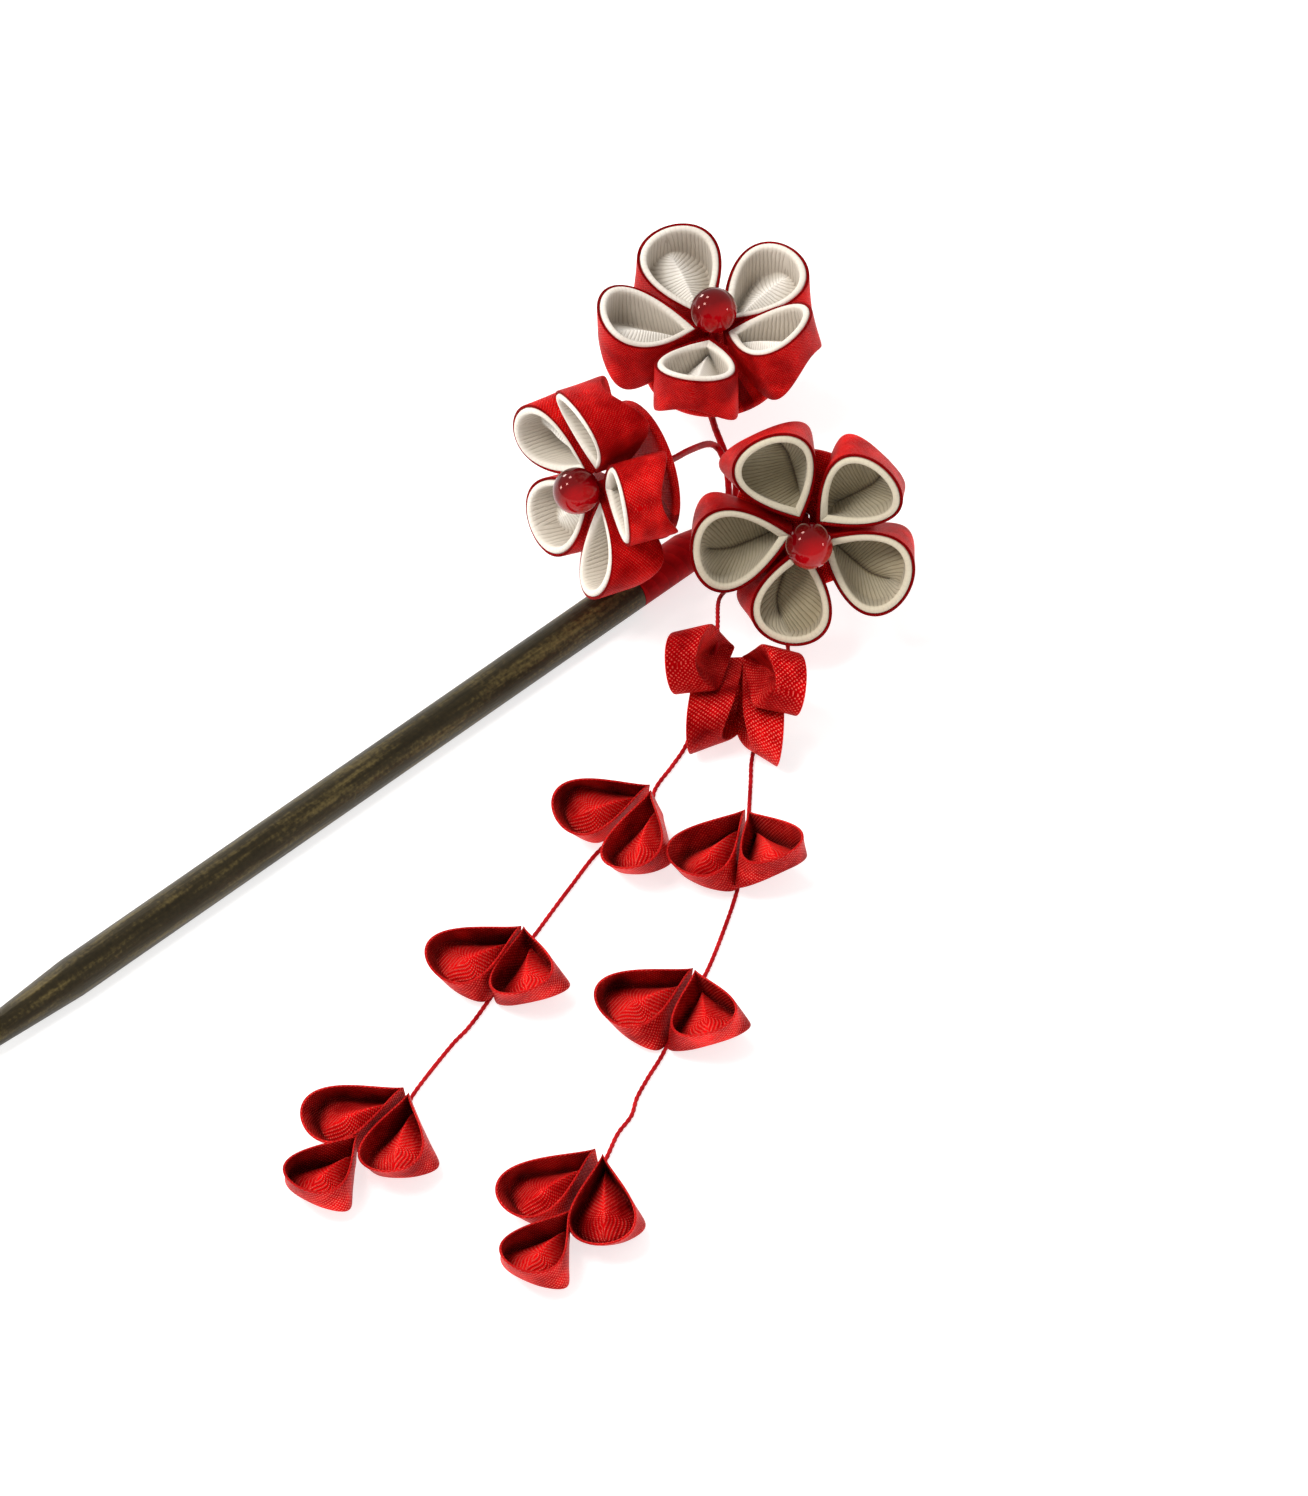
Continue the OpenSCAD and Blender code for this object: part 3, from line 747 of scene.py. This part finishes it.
# %% [markdown]
# ## Tape and thread
# The wires are wound with narrow crepe tape. Its turns could be modelled, but they are flat, so a slanted
# saw-tooth in the bump shows where one turn ends and the next begins. The tape on the stick has no map of its
# own and reads its place in metres, so the same material is given its sizes in that unit. Thread is two
# plies, whose form is in the mesh, and fine fibres, which are here.

# %% Crepe tape
def crepe_tape(name, coordinates, turn_pitch, unit):
    """Tape with a turn each turn_pitch along its coordinates, of which unit is one millimetre."""
    material, tree, shader = new_material(name, 0.15, (1.0, 0.15, 0.1))
    where = coordinates(tree)
    parts = add_node(tree, "ShaderNodeSeparateXYZ", {"Vector": where})
    slanted = maths(tree, "ADD", parts.outputs["X"], maths(tree, "MULTIPLY", parts.outputs["Y"], 0.5))
    step = maths(tree, "FRACT", maths(tree, "DIVIDE", slanted, turn_pitch))
    patch = use_group(tree, patch_group, Place=where, Scale=0.35 / unit, Grain=3.0 / unit)
    tone = weighed(tree, step, 0.15, patch["Slow"], 0.8)
    colour = ramp(tree, tone, (0.15, (0.13, 0.0006, 0.0015)), (0.5, (0.3, 0.0012, 0.004)),
                  (0.9, (0.55, 0.008, 0.01)))
    height = weighed(tree, step, 0.2, patch["Fine"], 0.8)
    bump = add_node(tree, "ShaderNodeBump", {"Height": height, "Strength": 0.45, "Distance": 0.0001})
    set_look(tree, shader, colour, 0.55, bump)
    return material


stem_tape = crepe_tape("crepe tape of the stems", cloth_coordinates, 1.6, 1.0)
wrap_tape = crepe_tape("crepe tape of the wrap", object_coordinates, 2.2 * MM, MM)
print("tapes:", stem_tape.name, "and", wrap_tape.name)

# %% Thread
def twisted_thread():
    material, tree, shader = new_material("twisted thread", 0.15, (1.0, 0.2, 0.15))
    weave = use_group(tree, weave_group, Cloth=cloth_coordinates(tree), Pitch=0.3, Waver=0.1)
    patch = use_group(tree, patch_group, Place=object_coordinates(tree), Scale=300.0, Grain=5000.0)
    tone = weighed(tree, weave["Height"], 0.4, patch["Slow"], 0.6)
    colour = ramp(tree, tone, (0.2, (0.16, 0.001, 0.003)), (0.5, (0.38, 0.003, 0.008)),
                  (0.85, (0.7, 0.03, 0.03)))
    bump = add_node(tree, "ShaderNodeBump", {"Height": weave["Height"], "Strength": 0.5, "Distance": 0.00008})
    set_look(tree, shader, colour, 0.6, bump)
    return material


thread_material = twisted_thread()
print("thread:", thread_material.name)

# %% [markdown]
# ## Glass
# The beads are deep red glass, nearly black where the light enters and glowing on the far side, where it
# comes out. Clear glass would have to carry that light through the ball, which takes many samples and never
# shows in an exported mesh. A glow value on each point gives the same look on an almost opaque glossy ball.

# %% Red glass
def red_glass():
    material, tree, shader = new_material("red glass", 0.6, (1.0, 0.6, 0.55))
    patch = use_group(tree, patch_group, Place=object_coordinates(tree), Scale=220.0, Grain=1500.0)
    glow = maths(tree, "MULTIPLY_ADD", patch["Slow"], 0.25, shade_value(tree))
    colour = ramp(tree, glow, (0.25, (0.05, 0.0001, 0.001)), (0.7, (0.14, 0.0003, 0.002)),
                  (1.0, (0.42, 0.0015, 0.005)))
    bump = add_node(tree, "ShaderNodeBump", {"Height": patch["Slow"], "Strength": 0.05, "Distance": 0.0002})
    set_look(tree, shader, colour, 0.04, bump)
    shader.inputs["Transmission Weight"].default_value = 0.05
    shader.inputs["IOR"].default_value = 1.4
    return material


glass_material = red_glass()
print("glass:", glass_material.name)

# %% [markdown]
# ## Sizes of a flower petal
# Each petal of a flower is folded from a square of satin with a square of grosgrain inside. The sizes are the
# solid model's, in millimetres. The satin could be as thick as its solid, but its cut edge would look like
# felt. So it is half as thick, and the liner is moved out to lie against it. The right flower's petals are
# pressed open, with a crease towards one side or the other.

# %% Flower petal sizes
petal_length, petal_width, petal_rise, petal_depth = 17, 14.4, 5.4, 11
pinch_radius = 2.2
petal_fullness = 1
satin_cloth, satin_crown = 0.5, 0.12
liner_start, liner_cloth, liner_crown = 0.53, 1.15, 0.35
petal_columns = 60
crease_side = [-1, -1, -1, -1, 1]
# How far the inner skin of a pressed liner swells up at its far end.
crease_swell = 2.6
# Columns: fold along, fold aside and fold depth, then ridge along and ridge depth, all as shares.
petal_sections = [
    [0.000, 0.00, 0.55, 0.030, 0.48],
    [0.070, 0.13, 0.60, 0.100, 0.46],
    [0.160, 0.28, 0.66, 0.190, 0.44],
    [0.270, 0.46, 0.73, 0.290, 0.43],
    [0.400, 0.66, 0.81, 0.400, 0.43],
    [0.560, 0.87, 0.90, 0.510, 0.44],
    [0.780, 1.12, 1.00, 0.620, 0.46],
    [0.900, 0.86, 0.88, 0.720, 0.50],
    [0.950, 0.60, 0.76, 0.810, 0.54],
    [0.975, 0.30, 0.67, 0.880, 0.57],
    [0.980, 0.00, 0.62, 0.930, 0.60]
]
print("sections of a flower petal:", len(petal_sections))

# %% [markdown]
# Fifteen petals could be copies of one, but each real one is folded a little larger, smaller or crooked. So
# each is folded from its own row of habits, red outside first, then white inside.

# %% Flower petals
def flower_petal(habit, crease):
    size, left, right = habit[2:]
    return {"start": pinch_radius, "length": petal_length * size, "width": petal_width * size,
            "rise": petal_rise * size, "depth": petal_depth * size, "fullness": petal_fullness,
            "left": left, "right": right, "crease": crease}


for f, flower in enumerate(flower_names):
    for k in range(petals_round):
        pressed = flower == "right"
        shape = flower_petal(petal_habit[f][k], crease_side[k] if pressed else 0)
        node = f"{flower}_petal_{k + 1}"
        outside = petal_piece(node + "_satin", shape, petal_sections, 0.0, satin_cloth, satin_crown,
                              at_petal(f, k), petal_columns)
        dress(outside, petal_satin, "red_satin", node)
        node = f"{flower}_liner_{k + 1}"
        inside = petal_piece(node + "_ribbon", shape, petal_sections, liner_start, liner_cloth, liner_crown,
                             at_petal(f, k), petal_columns, crease_swell if pressed else 0.0)
        dress(inside, shaded_ribbon if pressed else white_ribbon, "white_grosgrain", node)
print("flower petals:", len(flower_names) * petals_round, "red and as many white")

# %% [markdown]
# ## Flower backs
# A round of cloth closes each flower from behind, with the wire through its middle. A cylinder would have
# hard edges, so its outline is drawn instead, flat above and bulging below, and a grid is wrapped round it.
# Its hole is just as wide as the wire, so no light comes through.

# %% Flower backs
back_diameter, back_edge, back_bulge = 24.4, 1.3, 1.4
back_softness = 0.35
stem_diameter = 1.2
back_top = -0.75 * petal_depth
back_under = back_top - back_edge - back_bulge
flat_steps, bulge_steps, back_columns = 6, 8, 72


def back_outline():
    """The outline of a back, from its hole over the top and the edge to the hole again, as (away, height)."""
    edge, bore = back_diameter / 2, stem_diameter / 2
    flat = [(bore + (edge - back_softness - bore) * i / flat_steps, back_top) for i in range(flat_steps + 1)]
    rim = [(edge, back_top - back_softness), (edge, back_under + back_bulge)]
    angles = [math.pi / 2 * i / bulge_steps for i in range(1, bulge_steps + 1)]
    under = [(bore + (edge - bore) * math.cos(a), back_under + back_bulge * (1 - math.sin(a)))
             for a in angles]
    return flat + rim + under + [(bore, back_top)]


def round_back(name, place_back):
    outline = back_outline()
    last = len(outline) - 1

    def place(u, v):
        (away, height), angle = outline[round(v * last)], 2 * math.pi * u
        return place_back @ Vector((away * math.cos(angle), away * math.sin(angle), height))

    def weave_at(u, v):
        away, height = outline[round(v * last)]
        away += abs(height - back_top)
        return (away * math.cos(2 * math.pi * u), away * math.sin(2 * math.pi * u))

    return folded_grid(name, back_columns, last, place, weave_at)


for f, flower in enumerate(flower_names):
    dress(round_back(flower + "_back_satin", at_flower(f)), petal_satin, "red_satin", "flower_backs")
print("flower backs:", len(flower_names))

# %% [markdown]
# ## The falling strings
# Nine petals hang on each thread, in groups of two, two, two and three. Each is one layer of satin, so the
# ridge inside it is red too. Instances could share one mesh, but each petal is pressed by its neighbours.
# So each is folded by itself, from the same rule as the flowers' petals with another table.

# %% Falling petal sizes
drop_length, drop_width, drop_rise, drop_depth = 17.5, 10.6, 2.2, 6.8
drop_fullness = 1.6
drop_cloth, drop_crown = 0.42, 0.1
drop_columns = 56
# Columns: fold along, fold aside and fold depth, then ridge along and ridge depth, all as shares.
drop_sections = [
    [0.000, 0.00, 0.96, 0.030, 0.80],
    [0.080, 0.15, 0.97, 0.100, 0.66],
    [0.170, 0.33, 0.98, 0.190, 0.55],
    [0.270, 0.55, 0.99, 0.290, 0.47],
    [0.380, 0.78, 1.00, 0.390, 0.42],
    [0.500, 1.05, 1.00, 0.490, 0.40],
    [0.640, 1.40, 1.00, 0.590, 0.42],
    [0.760, 1.05, 0.88, 0.680, 0.47],
    [0.840, 0.68, 0.77, 0.750, 0.52],
    [0.875, 0.33, 0.70, 0.800, 0.56],
    [0.885, 0.00, 0.67, 0.835, 0.60]
]
print("sections of a falling petal:", len(drop_sections))

# %% Places of the falling petals
string_names = ["left", "right"]
# Columns: place of the pinch x, y, z, direction, pitch, roll, and how far each bottom corner stands out.
left_drops = [
    [-15.4, -20.9, 9.1, 213, 38, 105, 0.92, 0.8],
    [-16.7, -22.3, 9, 229, -12, 97, 0.8, 0.82],
    [-40.9, -36.7, 8, 159, -7, -15, 0.7, 1],
    [-41.9, -37.9, 8.5, 215, -8, 17, 0.72, 0.8],
    [-77.6, -44.4, 7.3, 171, -4, -6, 0.85, 1],
    [-76.2, -44.1, 6.3, 228, 4, 16, 0.95, 0.8],
    [-115.4, -57.4, 8.2, 159, -13, -4, 0.58, 1],
    [-114.7, -58.4, 7.5, 216, -6, 11, 0.95, 0.7],
    [-126.2, -58.8, 6.5, 193, 5, 0, 0.95, 0.95]
]
right_drops = [
    [-7.7, -32.45, 10.1, 236, 31, -103, 0.76, 0.9],
    [-7.9, -33.8, 9.9, 217, -20, -101, 0.76, 0.66],
    [-32.7, -50.9, 6.9, 190, -3, 0, 0.85, 0.62],
    [-31.7, -50.85, 6.25, 249, 14, 10, 0.75, 1.05],
    [-62.9, -69.9, 6.6, 172, -2, -6, 0.9, 1],
    [-61.7, -70.6, 6.35, 236, 7, 13, 0.95, 0.85],
    [-101.4, -88.1, 7.7, 173, -12, 0, 0.7, 1],
    [-100.4, -90.3, 8.6, 228, -14, 6, 0.92, 0.7],
    [-110.9, -94.2, 6.55, 196, 3, 0, 0.95, 0.95]
]


def at_drop(d):
    place = Matrix.Translation(Vector((d[0] + plan_shift[0], d[1] + plan_shift[1], d[2])))
    return place @ turned("Z", d[3]) @ turned("Y", -d[4]) @ turned("X", d[5])


print("falling petals:", len(left_drops) + len(right_drops))

# %% [markdown]
# The petals of a group are glued together at their pinches and press each other flat. The solids keep a
# small gap there, since they may not touch. The table closes it: how much deeper and wider a petal is here,
# how much further out its left and right corners stand, and how far its pinch goes back. The corners are
# shares, and the rest is in millimetres.

# %% Pressed petals
pressed_drops = {
    "left_drop_2": (1.6, 0, 0, 0, 0), "right_drop_2": (0.6, 0, 0, 0, 0),
    "left_drop_4": (0, 0.4, 0, 0.1, 0),
    "right_drop_3": (0, 0.5, 0.14, 0, 0.6), "right_drop_4": (0, 0.5, 0, 0.12, 0),
    "left_drop_5": (0, 0.7, 0.1, 0, 0.6), "left_drop_6": (0, 0.7, 0, 0.1, 0),
    "right_drop_5": (0, 0.9, 0.22, 0, 1.3), "right_drop_6": (0, 0.9, 0, 0.22, 0.5),
    "left_drop_7": (0, 0.6, 0.1, 0, 0.4), "left_drop_8": (0, 0.6, 0, 0.1, 0),
    "right_drop_7": (0, 0.6, 0.1, 0, 1.3), "right_drop_8": (0, 0.9, 0, 0.1, 0.2)
}
unpressed = (0, 0, 0, 0, 0)
for string, drops in zip(string_names, (left_drops, right_drops)):
    for k, d in enumerate(drops):
        node = f"{string}_drop_{k + 1}"
        deeper, wider, left_out, right_out, back = pressed_drops.get(node, unpressed)
        shape = {"start": -back, "length": drop_length + back, "width": drop_width + wider, "rise": drop_rise,
                 "depth": drop_depth + deeper, "fullness": drop_fullness, "left": d[6] + left_out,
                 "right": d[7] + right_out, "crease": 0}
        petal = petal_piece(node + "_satin", shape, drop_sections, 0.0, drop_cloth, drop_crown, at_drop(d),
                            drop_columns)
        dress(petal, drop_satin, "red_satin", node)
print("petals pressed against a neighbour:", len(pressed_drops))

# %% [markdown]
# ## Threads and stems
# Thread hangs in slow bends, and wire holds the bends that fingers gave it. A Bezier curve with a bevel would
# do for both, but not for the twist of a thread. So a route goes smoothly through a few points, a grid is
# rolled round it, and its outline can be plied: two plies for a thread, one wound edge for a taped wire.

# %% Strand helpers
def smooth_route(points, steps):
    points = [Vector(p) for p in points]
    route = []
    for i in range(len(points) - 1):
        a, b, c, d = points[max(i - 1, 0)], points[i], points[i + 1], points[min(i + 2, len(points) - 1)]
        for k in range(steps):
            route.append(smooth_between(a, b, c, d, k / steps))
    return route + [points[-1]]


# Any way that no strand starts along.
first_way_across = Vector((0.3, 0.2, 1.0))


def frames_along(route):
    """For each point of the route: its heading, a way across it that doesn't spin, and the length so far."""
    headings, normals, lengths = [], [], [0.0]
    normal = first_way_across
    for i, at in enumerate(route):
        heading = (route[min(i + 1, len(route) - 1)] - route[max(i - 1, 0)]).normalized()
        normal = (normal - heading * normal.dot(heading)).normalized()
        headings.append(heading)
        normals.append(normal)
        if i:
            lengths.append(lengths[-1] + (at - route[i - 1]).length)
    return headings, normals, lengths


bend = smooth_route([(0, 0, 0), (1, 0, 0), (1, 1, 0)], 2)
print("three points in steps of two:", len(bend), "points")

# %% Strand
def strand_piece(name, points, diameter, steps, cells_round, plies, ply_depth, ply_turn):
    """A strand along the points. Each ply goes once round it in ply_turn millimetres."""
    route = smooth_route(points, steps)
    shift = Vector((*plan_shift, 0))
    headings, normals, lengths = frames_along(route)
    last = len(route) - 1

    def radius(i, angle):
        bulge = abs(math.cos(plies / 2 * (angle - 2 * math.pi * lengths[i] / ply_turn)))
        return diameter / 2 * (1 - ply_depth * (1 - bulge))

    def place(u, v):
        i, angle = round(u * last), v * 2 * math.pi
        side = headings[i].cross(normals[i])
        return shift + route[i] + radius(i, angle) * (normals[i] * math.cos(angle) + side * math.sin(angle))

    def weave_at(u, v):
        return (lengths[round(u * last)], v * math.pi * diameter)

    return folded_grid(name, last, cells_round, place, weave_at, closed=False, levels=0)


print("strands are rolled from the same kind of grid as the petals")

# %% [markdown]
# Each thread starts in the tape, goes down behind the flowers and then lies on the table, drawn through the
# pinches of its petals.

# %% Threads
thread_diameter = 0.8
left_thread_route = [
    [7.4, -1.9, 2.6], [4.5, -6, 3.4], [0, -12, 6.5], [-7.7, -17.6, 13],
    [-12.6, -22.6, 15.2], [-15.3, -25.4, 14.8], [-16, -25.4, 12.4], [-16.2, -24.2, 9.2],
    [-17.6, -24.6, 6.5], [-19.5, -25.9, 3.6], [-21.7, -27.1, 1.5], [-26.4, -29.8, 0.46],
    [-31.2, -31.6, 0.46], [-36.9, -33.5, 0.46],
    [-42.3, -37.4, 0.46], [-51.8, -36.9, 0.46], [-61.9, -39.7, 0.46], [-73, -43.3, 0.46],
    [-77.7, -44.7, 0.46], [-88.8, -48.8, 0.46], [-94.7, -50.7, 0.46], [-99.6, -51.7, 0.46],
    [-110.9, -55.1, 0.46], [-115.9, -58, 0.46], [-124, -58.2, 1]
]
right_thread_route = [
    [8.2, -2.4, 2], [8.5, -9, 1.2], [6, -18, 0.8], [1, -25.5, 0.5], [-5, -31.5, 0.46], [-10.5, -34, 0.46],
    [-15.3, -35.9, 0.46], [-20.4, -39.7, 0.46], [-24.3, -43.6, 0.46], [-32.6, -51.7, 0.46],
    [-41.1, -58.7, 0.46], [-49.9, -64.4, 0.46], [-57.9, -68.9, 0.46], [-63.1, -70.6, 0.46],
    [-73.6, -76.2, 0.46], [-79.7, -78.7, 0.46], [-83.9, -80.6, 0.46], [-87.2, -82.8, 0.46],
    [-91.4, -84.1, 0.46], [-95.6, -86.3, 0.46], [-101.7, -89.5, 0.46], [-108.6, -93.6, 1.1]
]
for string, route in zip(string_names, (left_thread_route, right_thread_route)):
    thread = strand_piece(string + "_thread_twist", route, thread_diameter, steps=20, cells_round=12,
                          plies=2, ply_depth=0.28, ply_turn=2.4)
    dress(thread, thread_material, "red_thread", string + "_thread")
    length = sum((Vector(b) - Vector(a)).length for a, b in zip(route, route[1:]))
    print(string, "thread:", round(length), "mm")

# %% [markdown]
# Each wire stem comes out of the tape and bends to its flower. The last points lie on the flower's own axis:
# through the back, up between the petals and into the bead, which sits a little off the axis.

# %% Stems
stem_lead = 1.5
bead_height = 4
bead_shift = [[0.3, -0.1, 0.1], [0.2, -0.2, 0], [-0.3, -0.7, -0.6]]
top_route = [
    [2.2, 0.7, 3.9], [7, 0.75, 4.1], [12.7, 1.4, 4.2], [16.9, 5, 6], [18.4, 9, 7.5],
    [19.9, 12.7, 8.4], [21.4, 15.4, 8], [23.9, 19, 7.4]
]
left_route = [
    [2.2, -0.7, 3.9], [7, -0.7, 4.1], [11.3, 0.9, 5.9], [15, 4.9, 8], [17.2, 8.6, 8.6],
    [17.5, 10.7, 9.2], [14.6, 10.1, 12.4], [8.1, 7.4, 18], [3.1, 5.3, 21.8]
]
right_route = [[2.2, 0, 2.7], [7, -0.3, 2.7], [12, -2.5, 4], [15.8, -8.4, 8.4], [16.8, -12.6, 12.2]]


def facing(f):
    azimuth, lean = math.radians(flower_pose[f][0]), math.radians(flower_pose[f][1])
    return Vector((math.sin(lean) * math.cos(azimuth), math.sin(lean) * math.sin(azimuth), math.cos(lean)))


def on_axis(f, height):
    return Vector(flower_at[f]) + facing(f) * height


for f, (flower, route) in enumerate(zip(flower_names, (top_route, left_route, right_route))):
    inside = [on_axis(f, h) for h in (back_under - stem_lead, back_under, back_top)]
    inside += [on_axis(f, h) + Vector(bead_shift[f]) for h in (back_top / 2, 0, bead_height)]
    stem = strand_piece("stem_" + flower + "_tape", route + inside, stem_diameter, steps=14, cells_round=14,
                        plies=1, ply_depth=0.06, ply_turn=1.6)
    dress(stem, stem_tape, "red_tape", "stem_" + flower)
print("stems:", len(flower_names))

# %% [markdown]
# ## Beads
# A drilled glass bead sits in the middle of each flower. A UV sphere has no hole, and cutting one leaves a
# ragged lip. So the outline of a ball with a rounded mouth is spun about its axis. The mouth faces the wire
# behind, and each point's shade says how far it lies towards the glowing side.

# %% Beads
bead_diameter = 8
mouth_radius, mouth_depth, lip_depth = 0.45, 0.9, 0.25
# The radius at the mouth's floor and under its lip, as shares of the radius at the lip.
floor_share, under_lip_share = 0.6, 0.9
ball_steps, turn_steps = 28, 56
pole_reach = 0.002


def bead_outline():
    """The outline of a bead from the bottom of its mouth over the lip to the far pole, as (away, height)."""
    radius = bead_diameter / 2
    start = math.asin(mouth_radius / radius)
    mouth = [(0, radius - mouth_depth), (mouth_radius * floor_share, radius - mouth_depth),
             (mouth_radius * under_lip_share, radius - lip_depth)]
    angles = [start + (math.pi - start) * i / ball_steps for i in range(ball_steps + 1)]
    return mouth + [(radius * math.sin(a), radius * math.cos(a)) for a in angles]


def bead_piece(name, centre, way, glow_way):
    """A ball with its drilled mouth towards way, which glows on the side towards glow_way."""
    bm = bmesh.new()
    glow_layer = bm.verts.layers.float.new("shade")
    verts = [bm.verts.new((x * MM, 0, z * MM)) for x, z in bead_outline()]
    edges = [bm.edges.new(pair) for pair in zip(verts, verts[1:])]
    bmesh.ops.spin(bm, geom=verts + edges, cent=(0, 0, 0), axis=(0, 0, 1), angle=2 * math.pi,
                   steps=turn_steps, use_merge=True)
    bmesh.ops.remove_doubles(bm, verts=bm.verts, dist=pole_reach * MM)
    bmesh.ops.recalc_face_normals(bm, faces=bm.faces)
    turn = Vector((0, 0, 1)).rotation_difference(way).to_matrix().to_4x4()
    bmesh.ops.transform(bm, matrix=Matrix.Translation(centre * MM) @ turn, verts=bm.verts)
    for vert in bm.verts:
        vert[glow_layer] = 0.5 + 0.5 * (vert.co - centre * MM).normalized().dot(glow_way)
    for face in bm.faces:
        face.smooth = True
    mesh = bpy.data.meshes.new(name)
    bm.to_mesh(mesh)
    bm.free()
    piece = bpy.data.objects.new(name, mesh)
    bpy.context.scene.collection.objects.link(piece)
    return piece


glow_way = (0.45 * screen_right - 0.75 * screen_up + 0.45 * towards_camera).normalized()
for f, flower in enumerate(flower_names):
    centre = on_axis(f, bead_height) + Vector(bead_shift[f]) + Vector((*plan_shift, 0))
    ball = bead_piece(flower + "_bead_glass", centre, -facing(f), glow_way)
    dress(ball, glass_material, "red_glass", flower + "_bead")
print("beads:", len(flower_names), "of", bead_diameter, "mm")

# %% [markdown]
# ## Stick and wrap
# The stick is turned wood, and tape is wound tightly round its end. The solid model already has their exact
# round forms, so modelling them again would gain nothing, and they only take their material.

# %% Stick and wrap
for node, material in (("stick", wood_material), ("stem_wrap", wrap_tape)):
    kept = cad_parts[node]
    kept.data.materials.clear()
    kept.data.materials.append(material)
    print(node, "wears", material.name)

# %% [markdown]
# ## Studio
# Round the hairpin the photograph is plain white. A white backdrop that curves up behind would do, but a
# pale floor that glows a little is simpler, and its soft shadow still shows that the hairpin lies on it.

# %% Floor
# The half side is in metres. The drop, in millimetres, keeps the floor just clear of the hairpin.
floor_half_side, floor_drop = 6.0, 0.05

floor_material, floor_tree, floor_shader = new_material("pale floor", 0.5, (1.0, 1.0, 1.0))
floor_patch = use_group(floor_tree, patch_group, Place=object_coordinates(floor_tree), Scale=3.0, Grain=60.0)
floor_tree.links.new(ramp(floor_tree, floor_patch["Slow"], (0.2, (0.58, 0.58, 0.58)), (0.8, (0.6, 0.6, 0.6))),
                     floor_shader.inputs["Base Color"])
floor_shader.inputs["Roughness"].default_value = 0.9
floor_shader.inputs["Emission Color"].default_value = (1.0, 1.0, 1.0, 1.0)
floor_shader.inputs["Emission Strength"].default_value = 0.68
floor_mesh = bpy.data.meshes.new("floor")
bm = bmesh.new()
bmesh.ops.create_grid(bm, x_segments=4, y_segments=4, size=floor_half_side)
bm.to_mesh(floor_mesh)
bm.free()
floor = bpy.data.objects.new("floor", floor_mesh)
floor.location.z = -floor_drop * MM
floor_mesh.materials.append(floor_material)
bpy.context.scene.collection.objects.link(floor)
floor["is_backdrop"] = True
print("floor of", 2 * floor_half_side, "m a side")

# %% [markdown]
# The light is broad and soft from above, with a small cluster of four lamps at the upper left that shows as
# sparks in the beads, and a weak one at the right. Mirrored in the satin, the key lamp would bleach it, so
# glossy surfaces don't see it. Each lamp is placed by its way from the hairpin, as the picture shows it.

# %% Lights
lamp_distance = 1.2
world = bpy.data.worlds.new("studio")
bpy.context.scene.world = world
world.use_nodes = True
world.node_tree.nodes["Background"].inputs["Color"].default_value = (1.0, 0.98, 0.96, 1.0)
world.node_tree.nodes["Background"].inputs["Strength"].default_value = 0.6


def lamp(name, way, size, watts, colour):
    light = bpy.data.lights.new(name, "AREA")
    light.shape = "SQUARE"
    light.size = size
    light.energy = watts
    light.color = colour
    made = bpy.data.objects.new(name, light)
    way = way.normalized()
    made.location = look_at + way * lamp_distance
    made.rotation_euler = (-way).to_track_quat("-Z", "Y").to_euler()
    bpy.context.scene.collection.objects.link(made)
    return made


key_way = -0.4 * screen_right + 0.45 * screen_up + 0.8 * towards_camera
key = lamp("key", key_way, size=0.4, watts=9.0, colour=(1.0, 0.98, 0.95))
key.visible_glossy = False

up = Vector((0, 0, 1))
cluster_spread = 0.36
cluster_way = (-0.69 * screen_right + 0.69 * screen_up + 0.19 * towards_camera).normalized()
cluster_side = cluster_way.cross(up).normalized()
for i, (across, above) in enumerate(((-1, -1), (-1, 1), (1, -1), (1, 1))):
    way = cluster_way + cluster_spread * (across * cluster_side + above * up)
    lamp(f"cluster_{i + 1}", way, size=0.2, watts=2.4, colour=(1.0, 0.96, 0.9))

right_way = 0.94 * screen_right + 0.13 * screen_up + 0.31 * towards_camera
lamp("right", right_way, size=0.15, watts=1.2, colour=(1.0, 0.97, 0.95))
bpy.context.scene.view_settings.view_transform = "Standard"

# %% [markdown]
# ## Sizes for the record, and the end
# Dressing the model must not make it grow. The box of the finished pieces is kept beside the solid model's,
# so that the two can be compared.

# %% Finish
bpy.context.view_layer.update()
seen_box = [list(corner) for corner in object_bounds()]
print("visual box in mm:", [[round(v / MM, 1) for v in corner] for corner in seen_box])
